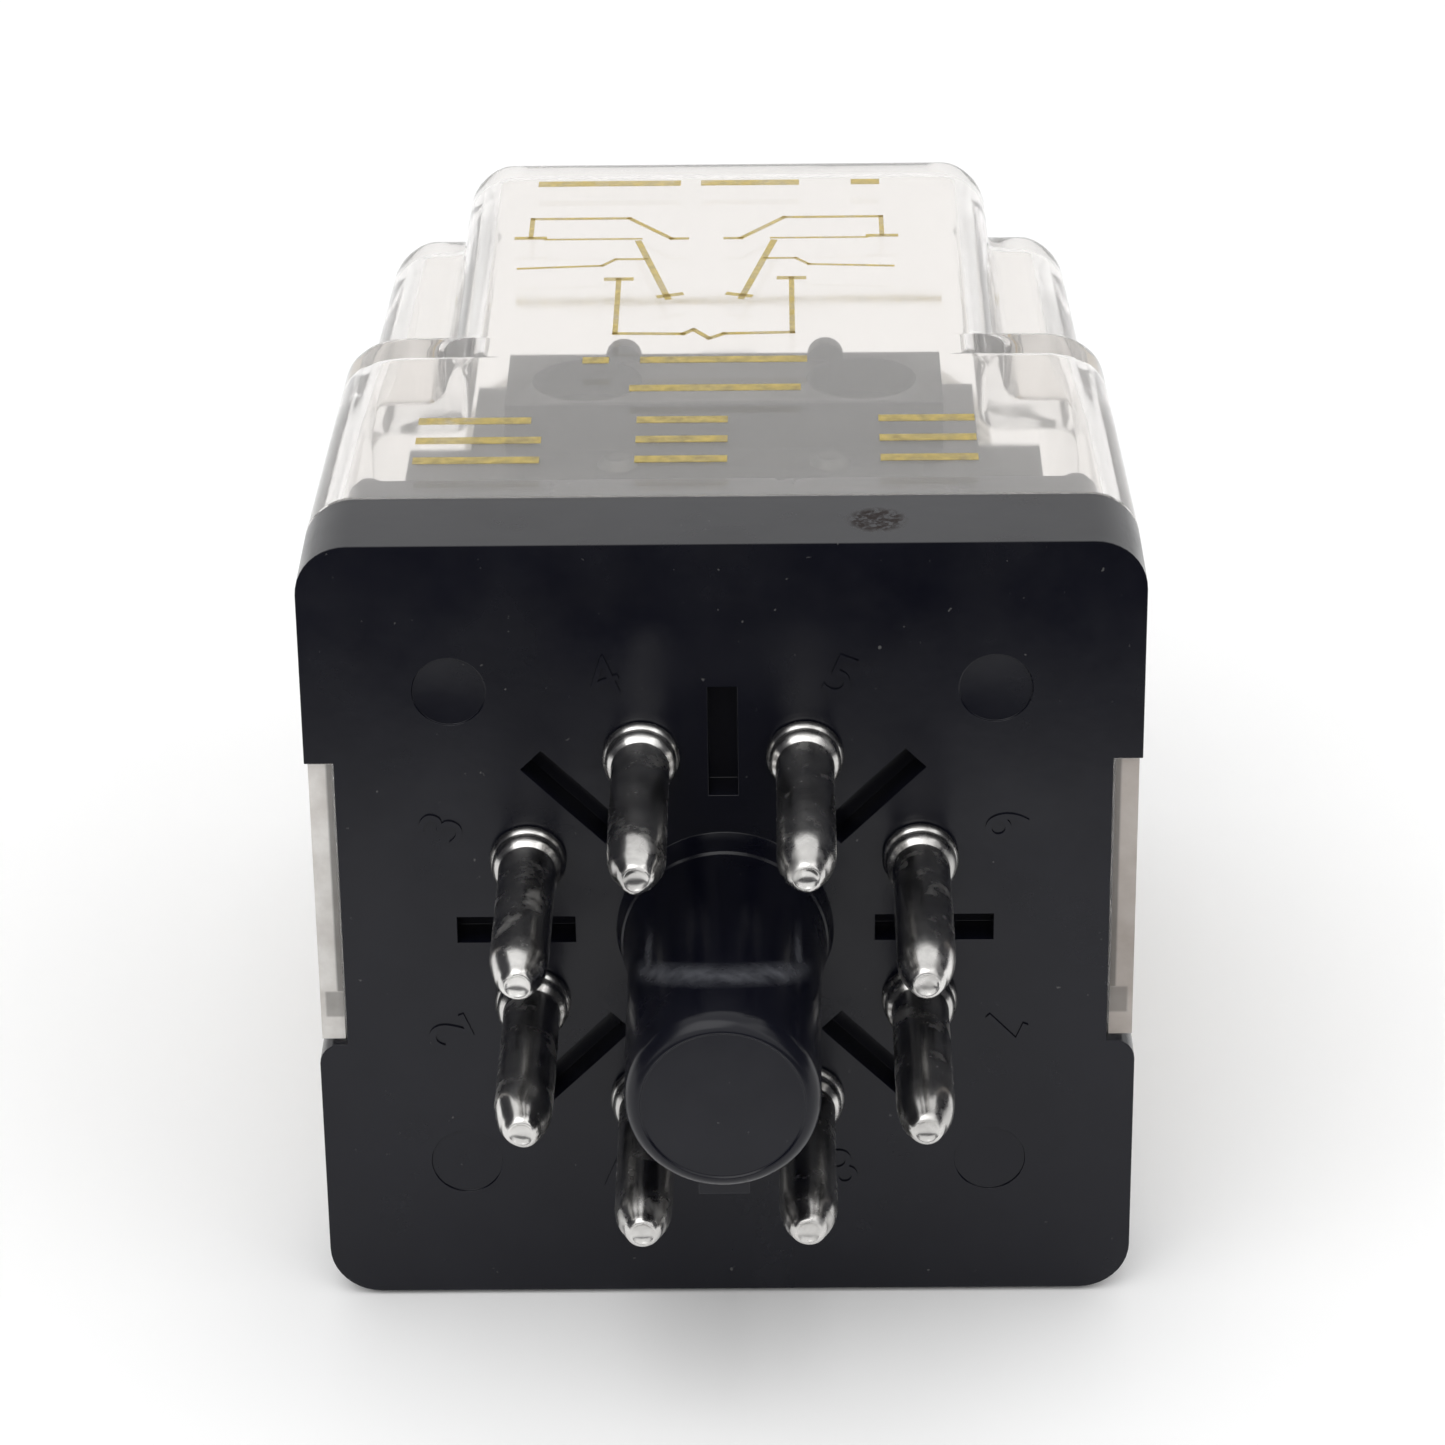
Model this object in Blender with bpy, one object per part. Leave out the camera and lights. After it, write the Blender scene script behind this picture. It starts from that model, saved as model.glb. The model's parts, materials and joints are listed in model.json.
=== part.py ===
"""Plug-in relay with eight octal pins, a clear cover and a working hinged armature.

The relay lies on its side as photographed: pins towards -Y, printed side up (+Z).
Sizes are metres in the case frame: x across, y from the pin face towards the far
end, z up from the middle of the face. The root empty carries that frame to the world.
"""

import math

import bmesh
import bpy
from mathutils import Vector

# Case outline
FACE_WIDTH = 0.0342
FACE_HEIGHT = 0.0351
FACE_CORNER_RADIUS = 0.0021
FLANGE_THICKNESS = 0.00475
COVER_LENGTH = 0.0455
COVER_WALL = 0.0011
COVER_DRAFT = 0.0010
COVER_EDGE_RADIUS = 0.0012
SHOULDER_Y = 0.0223
PANEL_WIDTH = 0.0246
SIDE_PANEL_HEIGHT = 0.0274
CASE_GAP = 0.0001
TAB_HEIGHT = 0.0132
TAB_RAISE = 0.00125
TAB_GAP = 0.00015
TAB_TIP_Y = 0.0003
SNAP_Y = 0.0064
SNAP_LENGTH = 0.0014
SNAP_WIDTH = 0.0090
SNAP_HEIGHT = 0.0004

# Base moulding
PLUG_LENGTH = 0.0080
FLOOR_THICKNESS = 0.0030
PLUG_WALL = 0.0014
CORNER_PEG_RADIUS = 0.00095
CORNER_PEG_TOP_Y = 0.0093
SLOT_INNER_RADIUS = 0.0062
SLOT_OUTER_RADIUS = 0.0111
SLOT_WIDTH = 0.0012
SLOT_DEPTH = 0.0016
EJECTOR_RADIUS = 0.0015
EJECTOR_SPACING = 0.02215
EJECTOR_DEPTH = 0.00015

# Octal pins and key post
PIN_COUNT = 8
PIN_CIRCLE_DIAMETER = 0.01745
PIN_CENTRE_RAISE = 0.0001
PIN_DIAMETER = 0.00236
PIN_LENGTH = 0.0108
PIN_INNER_LENGTH = 0.0046
COLLAR_DIAMETER = 0.00316
COLLAR_HEIGHT = 0.0012
BEAD_HEIGHT = 0.0006
POST_DIAMETER = 0.00775
POST_LENGTH = 0.0144
POST_COLLAR_DIAMETER = 0.0088
POST_COLLAR_HEIGHT = 0.0012
POST_CHAMFER = 0.0006
KEY_WIDTH = 0.0020
KEY_PROJECTION = 0.0007

# Magnet frame and coil
SHEET = 0.0016
FRAME_WIDTH = 0.0184
HEEL_Y = 0.0090
HEEL_BOTTOM_Z = -0.0135
LEG_TOP_Z = 0.0062
LEG_END_Y = 0.0350
EAR_THICKNESS = 0.0010
EAR_RADIUS = 0.0011
COIL_Z = -0.0045
CORE_RADIUS = 0.0036
SHANK_RADIUS = 0.0029
POLE_RADIUS = 0.0052
POLE_THICKNESS = 0.0010
RIVET_HEIGHT = 0.0007
BOBBIN_WALL = 0.0008
BOBBIN_FLANGE_RADIUS = 0.0090
BOBBIN_FLANGE = 0.0011
WINDING_RADIUS = 0.0083
TAPE_THICKNESS = 0.00025
RING_OUTER_RADIUS = 0.0029
RING_INNER_RADIUS = 0.0021
RING_DEPTH = 0.0006
RING_RAISE = 0.0019
LUG_LENGTH = 0.0012
LUG_WIDTH = 0.0016
LUG_THICKNESS = 0.0008

# Armature and moving contacts, built pulled in and then let go by RELEASE_ANGLE
RELEASE_ANGLE = math.radians(3.5)
ARMATURE_SHEET = 0.0015
PLATE_GAP = 0.00025
ARMATURE_WIDTH = 0.0180
ARMATURE_BOTTOM_Z = -0.0097
ARM_END_Y = 0.0270
ARM_CLEARANCE = 0.0008
FORK_GAP = 0.0050
FORK_SPAN = 0.0174
TAIL_WIDTH = 0.0028
TAIL_TOP_Z = 0.0107
TAIL_THICKNESS = 0.00075
HINGE_PIN_RADIUS = 0.0004
HINGE_HEAD_RADIUS = 0.0007
CARRIER_START_Y = 0.0273
CARRIER_LENGTH = 0.0053
CARRIER_FLOOR = 0.0016
CARRIER_CAP = 0.0009
POLE_X = 0.0046
BLADE_WIDTH = 0.0033
BLADE_THICKNESS = 0.0003
BLADE_TIP_Y = 0.0149
BLADE_REAR_Y = 0.0340
CONTACT_Y = 0.0164
CONTACT_RADIUS = 0.00125
CONTACT_SHANK_RADIUS = 0.0006
CONTACT_HEAD = 0.0006
CARRIER_RIVET_X = 0.0075
CARRIER_RIVET_RADIUS = 0.00055
CARRIER_RIVET_HEAD = 0.0009

# Fixed contacts and their block
CONTACT_GAP = 0.0001
STRIP_WIDTH = 0.0032
STRIP_THICKNESS = 0.0003
FIXED_HEAD = 0.0007
FIXED_SHANK_RADIUS = 0.0007
STRIP_END_Y = 0.0179
NO_STRIP_START_Y = 0.0066
BLOCK_START_Y = 0.0073
BLOCK_WIDTH = 0.0274
BLOCK_WIDE_END_Y = 0.0186
BLOCK_REAR_WIDTH = 0.0221
BLOCK_END_Y = 0.0256
BLOCK_ROOF = 0.0010
BLOCK_SHELF = 0.0015
BLOCK_FLOOR = 0.0007
HOUSING_WIDTH = 0.0172
TUNNEL_WIDTH = 0.0052
BLOCK_FLANGE = 0.0020
TIER_WIDTH = 0.0190
TIER_START_Y = 0.0180
TIER_END_Y = 0.0238
TIER_GAP = 0.00095
TIER_EAR_X = 0.00445
TIER_EAR_RADIUS = 0.0008
TIER_EAR_LENGTH = 0.0010
TIER_RECESS_X = 0.0060
TIER_RECESS_Y = 0.0208
TIER_RECESS_RADIUS = 0.0024
TIER_RECESS_DEPTH = 0.0016

# Screws
BLOCK_SCREW_X = 0.0122
BLOCK_SCREW_Z = 0.0100
BLOCK_SCREW_RADIUS = 0.0009
BLOCK_SCREW_HEAD = 0.0014
HEEL_SCREW_X = 0.0080
HEEL_SCREW_Z = -0.0117
HEEL_SCREW_RADIUS = 0.0011
HEEL_SCREW_HEAD = 0.0016
SCREW_HEAD_HEIGHT = 0.0010
SCREW_TIP_Y = 0.0045
BOSS_WALL = 0.0009
HOLE_SPARE = 0.0003

# Spring and wires
SPRING_Z = 0.0097
SPRING_RADIUS = 0.0010
SPRING_WIRE = 0.0002
SPRING_TURNS = 8
ANCHOR_Y = 0.0274
ANCHOR_THICKNESS = 0.0008
ANCHOR_TOP_Z = 0.0105
HOOK_HOLE_RADIUS = 0.00045
COIL_WIRE = 0.00035
LEAD_WIRE = 0.0005
BRAID_WIRE = 0.0006
SOLDER_GAP = 0.0003
COIL_LEAD_SWING = 0.0007
LEAD_SWING = 0.0016
LEAD_DIP = 0.0010
LEAD_X = 0.0084
LEAD_HIGH_Z = 0.0090
LEAD_LOW_Z = 0.0062
BRAID_START_Y = 0.0335
BRAID_TURN_X = 0.0090
BRAID_TURN = 0.0015
BRAID_CLEARANCE = 0.0013
BRAID_FALL_Y = 0.0290
BRAID_PITCH = 0.0060
BRAID_HIGH_Z = 0.0040
BRAID_LOW_Z = -0.0072
BRAID_END_X = 0.0096
BRAID_END_Y = 0.0078
BRAID_INNER_X = 0.0055
BRAID_RISE = 0.0007

# Running fits
FIT = 0.00005
SEAT = 0.00005
SEGMENTS = 16

# Derived places
HALF_WIDTH = FACE_WIDTH / 2
HALF_HEIGHT = FACE_HEIGHT / 2
MIDDLE_Y = (COVER_LENGTH - POST_LENGTH) / 2
RIM_Y = FLANGE_THICKNESS + SEAT
PLUG_DRAFT = COVER_DRAFT * PLUG_LENGTH / COVER_LENGTH
PLUG_HALF_WIDTH = HALF_WIDTH - COVER_WALL - CASE_GAP - PLUG_DRAFT
PLUG_HALF_HEIGHT = HALF_HEIGHT - COVER_WALL - CASE_GAP
PIN_RADIUS = PIN_DIAMETER / 2
HEEL_FRONT_Y = HEEL_Y + SHEET
PLATE_Y = LEG_END_Y + PLATE_GAP
HINGE_Y = PLATE_Y + ARMATURE_SHEET / 2
ARM_BOTTOM_Z = LEG_TOP_Z + ARM_CLEARANCE
ARM_TOP_Z = ARM_BOTTOM_Z + ARMATURE_SHEET
HINGE_Z = (ARM_BOTTOM_Z + ARM_TOP_Z) / 2
HINGE = Vector((0.0, HINGE_Y, HINGE_Z))
POLE_FACE_Y = PLATE_Y - CONTACT_GAP
BOBBIN_START_Y = HEEL_FRONT_Y + 3 * SEAT
BOBBIN_END_Y = POLE_FACE_Y - POLE_THICKNESS - 2 * SEAT
BLADE_Z = ARM_TOP_Z + SEAT + CARRIER_FLOOR + FIT
BLADE_MID_Z = BLADE_Z + BLADE_THICKNESS / 2
CARRIER_TOP_Z = BLADE_Z + BLADE_THICKNESS + FIT + CARRIER_CAP
CONTACT_HALF = BLADE_THICKNESS / 2 + SEAT + CONTACT_HEAD
CONTACT_DROP = (
    (HINGE_Y - CONTACT_Y) * math.sin(RELEASE_ANGLE)
    + (BLADE_MID_Z - HINGE_Z) * (1 - math.cos(RELEASE_ANGLE))
)
NO_FACE_Z = BLADE_MID_Z + CONTACT_HALF + CONTACT_GAP
NC_FACE_Z = (
    BLADE_MID_Z - CONTACT_HALF - CONTACT_DROP
    - CONTACT_RADIUS * math.sin(RELEASE_ANGLE) - CONTACT_GAP
)
NO_STRIP_Z = NO_FACE_Z + FIXED_HEAD + SEAT
NC_STRIP_Z = NC_FACE_Z - FIXED_HEAD - SEAT - STRIP_THICKNESS
ROOF_Z = NO_STRIP_Z + STRIP_THICKNESS + SEAT
BLOCK_TOP_Z = ROOF_Z + BLOCK_ROOF
TUNNEL_FLOOR_Z = NC_STRIP_Z - SEAT
BLOCK_BOTTOM_Z = TUNNEL_FLOOR_Z - BLOCK_FLOOR
TIER_TOP_Z = HALF_HEIGHT - COVER_WALL - TIER_GAP
NC_STRIP_START_Y = PIN_INNER_LENGTH + SOLDER_GAP

CLOSED_LOOP = True
BLACK = ("black_moulding", (0.012, 0.012, 0.014), 0.0, 0.35, 0.0)
CLEAR = ("clear_cover", (0.93, 0.92, 0.91), 0.0, 0.08, 0.9)
TIN = ("tinned_brass", (0.78, 0.77, 0.74), 1.0, 0.25, 0.0)
STEEL = ("plated_steel", (0.55, 0.55, 0.56), 1.0, 0.35, 0.0)
COPPER = ("copper", (0.75, 0.36, 0.20), 1.0, 0.35, 0.0)
SILVER = ("contact_silver", (0.86, 0.85, 0.82), 1.0, 0.2, 0.0)
BRONZE = ("spring_bronze", (0.72, 0.52, 0.25), 1.0, 0.3, 0.0)
NYLON = ("bobbin_nylon", (0.80, 0.77, 0.68), 0.0, 0.5, 0.0)
TAPE = ("coil_tape", (0.62, 0.48, 0.12), 0.0, 0.45, 0.0)
SLEEVE = ("wire_sleeve", (0.55, 0.06, 0.05), 0.0, 0.5, 0.0)


def make_material(look):
    """One Principled material from a (name, colour, metallic, roughness, transmission) row."""
    name, colour, metallic, roughness, transmission = look
    if name in bpy.data.materials:
        return bpy.data.materials[name]
    material = bpy.data.materials.new(name)
    material.use_nodes = True
    shader = material.node_tree.nodes["Principled BSDF"]
    shader.inputs["Base Color"].default_value = (*colour, 1.0)
    shader.inputs["Metallic"].default_value = metallic
    shader.inputs["Roughness"].default_value = roughness
    shader.inputs["Transmission Weight"].default_value = transmission
    return material


def skin(rings, loop=False):
    """A closed mesh over rings of points; a ring of one point ends the mesh in a tip."""
    bm = bmesh.new()
    made = [[bm.verts.new(point) for point in ring] for ring in rings]
    pairs = list(zip(made, made[1:]))
    if loop:
        pairs.append((made[-1], made[0]))
    for lower, upper in pairs:
        count = max(len(lower), len(upper))
        for i in range(count):
            j = (i + 1) % count
            corners = []
            for ring, order in ((lower, (i, j)), (upper, (j, i))):
                corners += [ring[k] for k in order] if len(ring) > 1 else [ring[0]]
            bm.faces.new(corners)
    if not loop:
        for ring in (made[0], made[-1]):
            if len(ring) > 2:
                bm.faces.new(ring)
    bmesh.ops.recalc_face_normals(bm, faces=bm.faces)
    return bm


def along(axis, place, distance, a, b):
    """The point at a distance along an axis, with a and b across it, from a place."""
    across = {"X": (distance, a, b), "Y": (a, distance, b), "Z": (a, b, distance)}[axis]
    return Vector(place) + Vector(across)


def circle(axis, place, distance, radius, segments):
    """Points of a circle round an axis; a radius of 0 gives a single point."""
    if radius <= 0.0:
        return [along(axis, place, distance, 0.0, 0.0)]
    turns = [2 * math.pi * (i + 0.5) / segments for i in range(segments)]
    return [
        along(axis, place, distance, radius * math.cos(t), radius * math.sin(t))
        for t in turns
    ]


def turned(axis, place, profile, segments=SEGMENTS, loop=False):
    """A turned body from (distance along the axis, radius) steps."""
    return skin([circle(axis, place, d, r, segments) for d, r in profile], loop)


def rod(axis, place, start, end, radius, segments=SEGMENTS):
    """A plain cylinder between two distances along an axis."""
    return skin([circle(axis, place, d, radius, segments) for d in (start, end)])


def tube(axis, place, start, end, inner, outer, segments=24):
    """A plain ring."""
    profile = [(start, inner), (start, outer), (end, outer), (end, inner)]
    return turned(axis, place, profile, segments, CLOSED_LOOP)


def block(x, y, z):
    """A box between (low, high) pairs on each axis."""
    outline = [(x[0], z[0]), (x[1], z[0]), (x[1], z[1]), (x[0], z[1])]
    return skin([[Vector((px, d, pz)) for px, pz in outline] for d in y])


def rounded_rectangle(half_width, half_height, radius, steps=4):
    """Corner points, in x and z, of a rectangle with round corners."""
    points = []
    for quarter, (sx, sz) in enumerate(((1, 1), (-1, 1), (-1, -1), (1, -1))):
        middle = (sx * (half_width - radius), sz * (half_height - radius))
        for i in range(steps + 1):
            turn = math.pi / 2 * (quarter + i / steps)
            points.append((middle[0] + radius * math.cos(turn), middle[1] + radius * math.sin(turn)))
    return points


def slab(half_width, half_height, radius, y):
    """A plate with round corners between two y values."""
    outline = rounded_rectangle(half_width, half_height, radius)
    return skin([[Vector((px, d, pz)) for px, pz in outline] for d in y])


def wire(points, radius, sides=8):
    """A round wire that bends smoothly through a list of points."""
    path = []
    count = len(points)
    for i in range(count - 1):
        before = points[max(i - 1, 0)]
        start, end = points[i], points[i + 1]
        after = points[min(i + 2, count - 1)]
        for step in range(3):
            t = step / 3
            path.append(0.5 * (
                2 * start
                + (end - before) * t
                + (2 * before - 5 * start + 4 * end - after) * t * t
                + (3 * start - before - 3 * end + after) * t ** 3
            ))
    path.append(points[-1])
    return sweep(path, radius, sides)


def sweep(path, radius, sides):
    """A round bar that follows a list of close points."""
    rings = []
    tangents = [
        (path[min(i + 1, len(path) - 1)] - path[max(i - 1, 0)]).normalized()
        for i in range(len(path))
    ]
    across = tangents[0].orthogonal().normalized()
    for point, tangent in zip(path, tangents):
        across = (across - tangent * across.dot(tangent)).normalized()
        other = tangent.cross(across)
        rings.append([
            point + radius * (across * math.cos(t) + other * math.sin(t))
            for t in (2 * math.pi * k / sides for k in range(sides))
        ])
    return skin(rings)


def join(meshes):
    """Several closed meshes in one, for use as a cutter or an added shape."""
    joined = bmesh.new()
    for bm in meshes:
        start = {vert: joined.verts.new(vert.co) for vert in bm.verts}
        for face in bm.faces:
            joined.faces.new([start[vert] for vert in face.verts])
        bm.free()
    return joined


class Assembly:
    """Makes named objects under the root empty or under the hinge empty."""

    def __init__(self):
        self.root = self.empty("relay_frame", Vector((0.0, -MIDDLE_Y, HALF_HEIGHT)))
        self.hinge = self.empty("armature_hinge", HINGE)
        self.hinge.parent = self.root
        self.hinge.rotation_euler = (RELEASE_ANGLE, 0.0, 0.0)

    def empty(self, name, place):
        holder = bpy.data.objects.new(name, None)
        holder.location = place
        bpy.context.scene.collection.objects.link(holder)
        return holder

    def add(self, name, bm, look=None, moving=False):
        """An object from a mesh given in the case frame."""
        if moving:
            bmesh.ops.translate(bm, verts=bm.verts, vec=-HINGE)
        mesh = bpy.data.meshes.new(name)
        bm.to_mesh(mesh)
        bm.free()
        item = bpy.data.objects.new(name, mesh)
        item.parent = self.hinge if moving else self.root
        bpy.context.scene.collection.objects.link(item)
        if look:
            mesh.materials.append(make_material(look))
        return item

    def shape(self, target, operation, meshes, moving=False):
        """Cuts meshes from the target, or adds them to it, with a Boolean modifier."""
        name = f"{target.name}_tool_{len(target.modifiers)}"
        tool = self.add(name, join(meshes), moving=moving)
        tool.hide_render = True
        tool.display_type = "WIRE"
        step = target.modifiers.new(name, "BOOLEAN")
        step.operation = operation
        step.solver = "EXACT"
        step.object = tool

    def cut(self, target, meshes, moving=False):
        self.shape(target, "DIFFERENCE", meshes, moving)

    def fuse(self, target, meshes, moving=False):
        for bm in meshes:
            self.shape(target, "UNION", [bm], moving)


def pin_place(number):
    """Centre of a pin on the face; numbers run clockwise from the key, seen from the pins."""
    turn = math.radians(270.0 - 180.0 / PIN_COUNT - 360.0 / PIN_COUNT * (number - 1))
    radius = PIN_CIRCLE_DIAMETER / 2
    return Vector((radius * math.cos(turn), 0.0, PIN_CENTRE_RAISE + radius * math.sin(turn)))


def cover_ring(y, inset, notched, steps=3):
    """One closed outline of the cover at a given y, taken in by an inset."""
    narrow = COVER_DRAFT * (y - RIM_Y) / (COVER_LENGTH - RIM_Y)
    half_x = HALF_WIDTH - narrow - inset
    half_z = HALF_HEIGHT - inset
    panel_x = PANEL_WIDTH / 2 - inset
    side_z = SIDE_PANEL_HEIGHT / 2 - inset
    edge = COVER_EDGE_RADIUS * 0.6
    corner = max(FACE_CORNER_RADIUS - inset, 0.0008)
    path = []
    for i in range(steps + 1):
        turn = math.pi / 2 * i / steps
        c, s = math.cos(turn), math.sin(turn)
        if notched:
            path.append((half_x - edge + edge * c, side_z - edge + edge * s))
        else:
            share = 0.4 * (i - 1) / (steps - 1)
            path.append((half_x, side_z - edge) if i == 0 else corner_point(half_x, half_z, corner, share))
    if notched:
        path.append((panel_x, side_z))
    else:
        path.append(corner_point(half_x, half_z, corner, 0.5))
    for i in range(steps + 1):
        turn = math.pi / 2 * i / steps
        c, s = math.cos(turn), math.sin(turn)
        if notched:
            path.append((panel_x - edge + edge * c, half_z - edge + edge * s))
        elif i == steps:
            path.append((panel_x - edge, half_z))
        else:
            path.append(corner_point(half_x, half_z, corner, 0.6 + 0.4 * i / (steps - 1)))
    tab_top = TAB_RAISE + TAB_HEIGHT / 2 - TAB_GAP
    tab_bottom = TAB_RAISE - TAB_HEIGHT / 2 + TAB_GAP
    right = [(half_x, tab_bottom), (half_x, tab_top)]
    upper = right + path + [(-px, pz) for px, pz in reversed(path)]
    lower = [(-half_x, tab_top), (-half_x, tab_bottom)]
    lower += [(-px, -pz) for px, pz in path] + [(px, -pz) for px, pz in reversed(path)]
    return [Vector((px, y, pz)) for px, pz in upper + lower]


def corner_point(half_x, half_z, radius, share):
    """A point of the plain corner arc, from the side (share 0) to the top (share 1)."""
    turn = math.pi / 2 * share
    return (half_x - radius + radius * math.cos(turn), half_z - radius + radius * math.sin(turn))


def build_cover(kit):
    """The clear cover: a drafted shell whose far half has its four corners stepped in."""
    outer_edge = COVER_EDGE_RADIUS
    end = COVER_LENGTH
    rounding = [
        (end - outer_edge, 0.0),
        (end - outer_edge * 0.5, outer_edge * 0.134),
        (end - outer_edge * 0.134, outer_edge * 0.5),
        (end, outer_edge),
    ]
    outer = [
        cover_ring(RIM_Y, 0.0, False),
        cover_ring(SHOULDER_Y, 0.0, False),
        cover_ring(SHOULDER_Y, 0.0, True),
        *(cover_ring(y, inset, True) for y, inset in rounding),
    ]
    inner = [
        cover_ring(end - COVER_WALL, COVER_WALL, True),
        cover_ring(SHOULDER_Y - COVER_WALL, COVER_WALL, True),
        cover_ring(SHOULDER_Y - COVER_WALL, COVER_WALL, False),
        cover_ring(RIM_Y, COVER_WALL, False),
    ]
    bm = bmesh.new()
    sides = []
    for rings in (outer, inner):
        made = [[bm.verts.new(point) for point in ring] for ring in rings]
        sides.append(made)
        for lower, upper in zip(made, made[1:]):
            for i in range(len(lower)):
                j = (i + 1) % len(lower)
                bm.faces.new((lower[i], lower[j], upper[j], upper[i]))
    bm.faces.new(sides[0][-1])
    bm.faces.new(sides[1][0])
    rim_out, rim_in = sides[0][0], sides[1][-1]
    tabs = []
    for i in range(len(rim_out)):
        j = (i + 1) % len(rim_out)
        face = bm.faces.new((rim_out[i], rim_out[j], rim_in[j], rim_in[i]))
        if i in (0, len(rim_out) // 2):
            tabs.append(face)
    raised = bmesh.ops.extrude_discrete_faces(bm, faces=tabs)["faces"]
    for face in raised:
        bmesh.ops.translate(bm, verts=face.verts, vec=(0.0, TAB_TIP_Y - RIM_Y, 0.0))
    bmesh.ops.remove_doubles(bm, verts=bm.verts, dist=1e-6)
    bmesh.ops.dissolve_degenerate(bm, edges=bm.edges, dist=1e-6)
    bmesh.ops.recalc_face_normals(bm, faces=bm.faces)
    cover = kit.add("cover", bm, CLEAR)
    groove_floor = PLUG_HALF_WIDTH + SNAP_HEIGHT + CASE_GAP
    kit.cut(cover, [
        block(
            sorted((side * (PLUG_HALF_WIDTH - CASE_GAP * 3), side * groove_floor)),
            (SNAP_Y - SNAP_LENGTH / 2 - CASE_GAP, SNAP_Y + SNAP_LENGTH / 2 + CASE_GAP),
            (-SNAP_WIDTH / 2 - CASE_GAP, SNAP_WIDTH / 2 + CASE_GAP),
        )
        for side in (-1, 1)
    ])


def snap_ridge(side):
    """A wedge on the side of the base that holds the cover's groove."""
    low, high = SNAP_Y - SNAP_LENGTH / 2, SNAP_Y + SNAP_LENGTH / 2
    foot = side * (PLUG_HALF_WIDTH - COVER_WALL / 2)
    face = side * PLUG_HALF_WIDTH
    crest = side * (PLUG_HALF_WIDTH + SNAP_HEIGHT)
    outline = [(foot, low), (face, low), (crest, low + SNAP_LENGTH * 0.2), (face, high), (foot, high)]
    return skin([
        [Vector((px, py, z)) for px, py in outline]
        for z in (-SNAP_WIDTH / 2, SNAP_WIDTH / 2)
    ])


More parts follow.
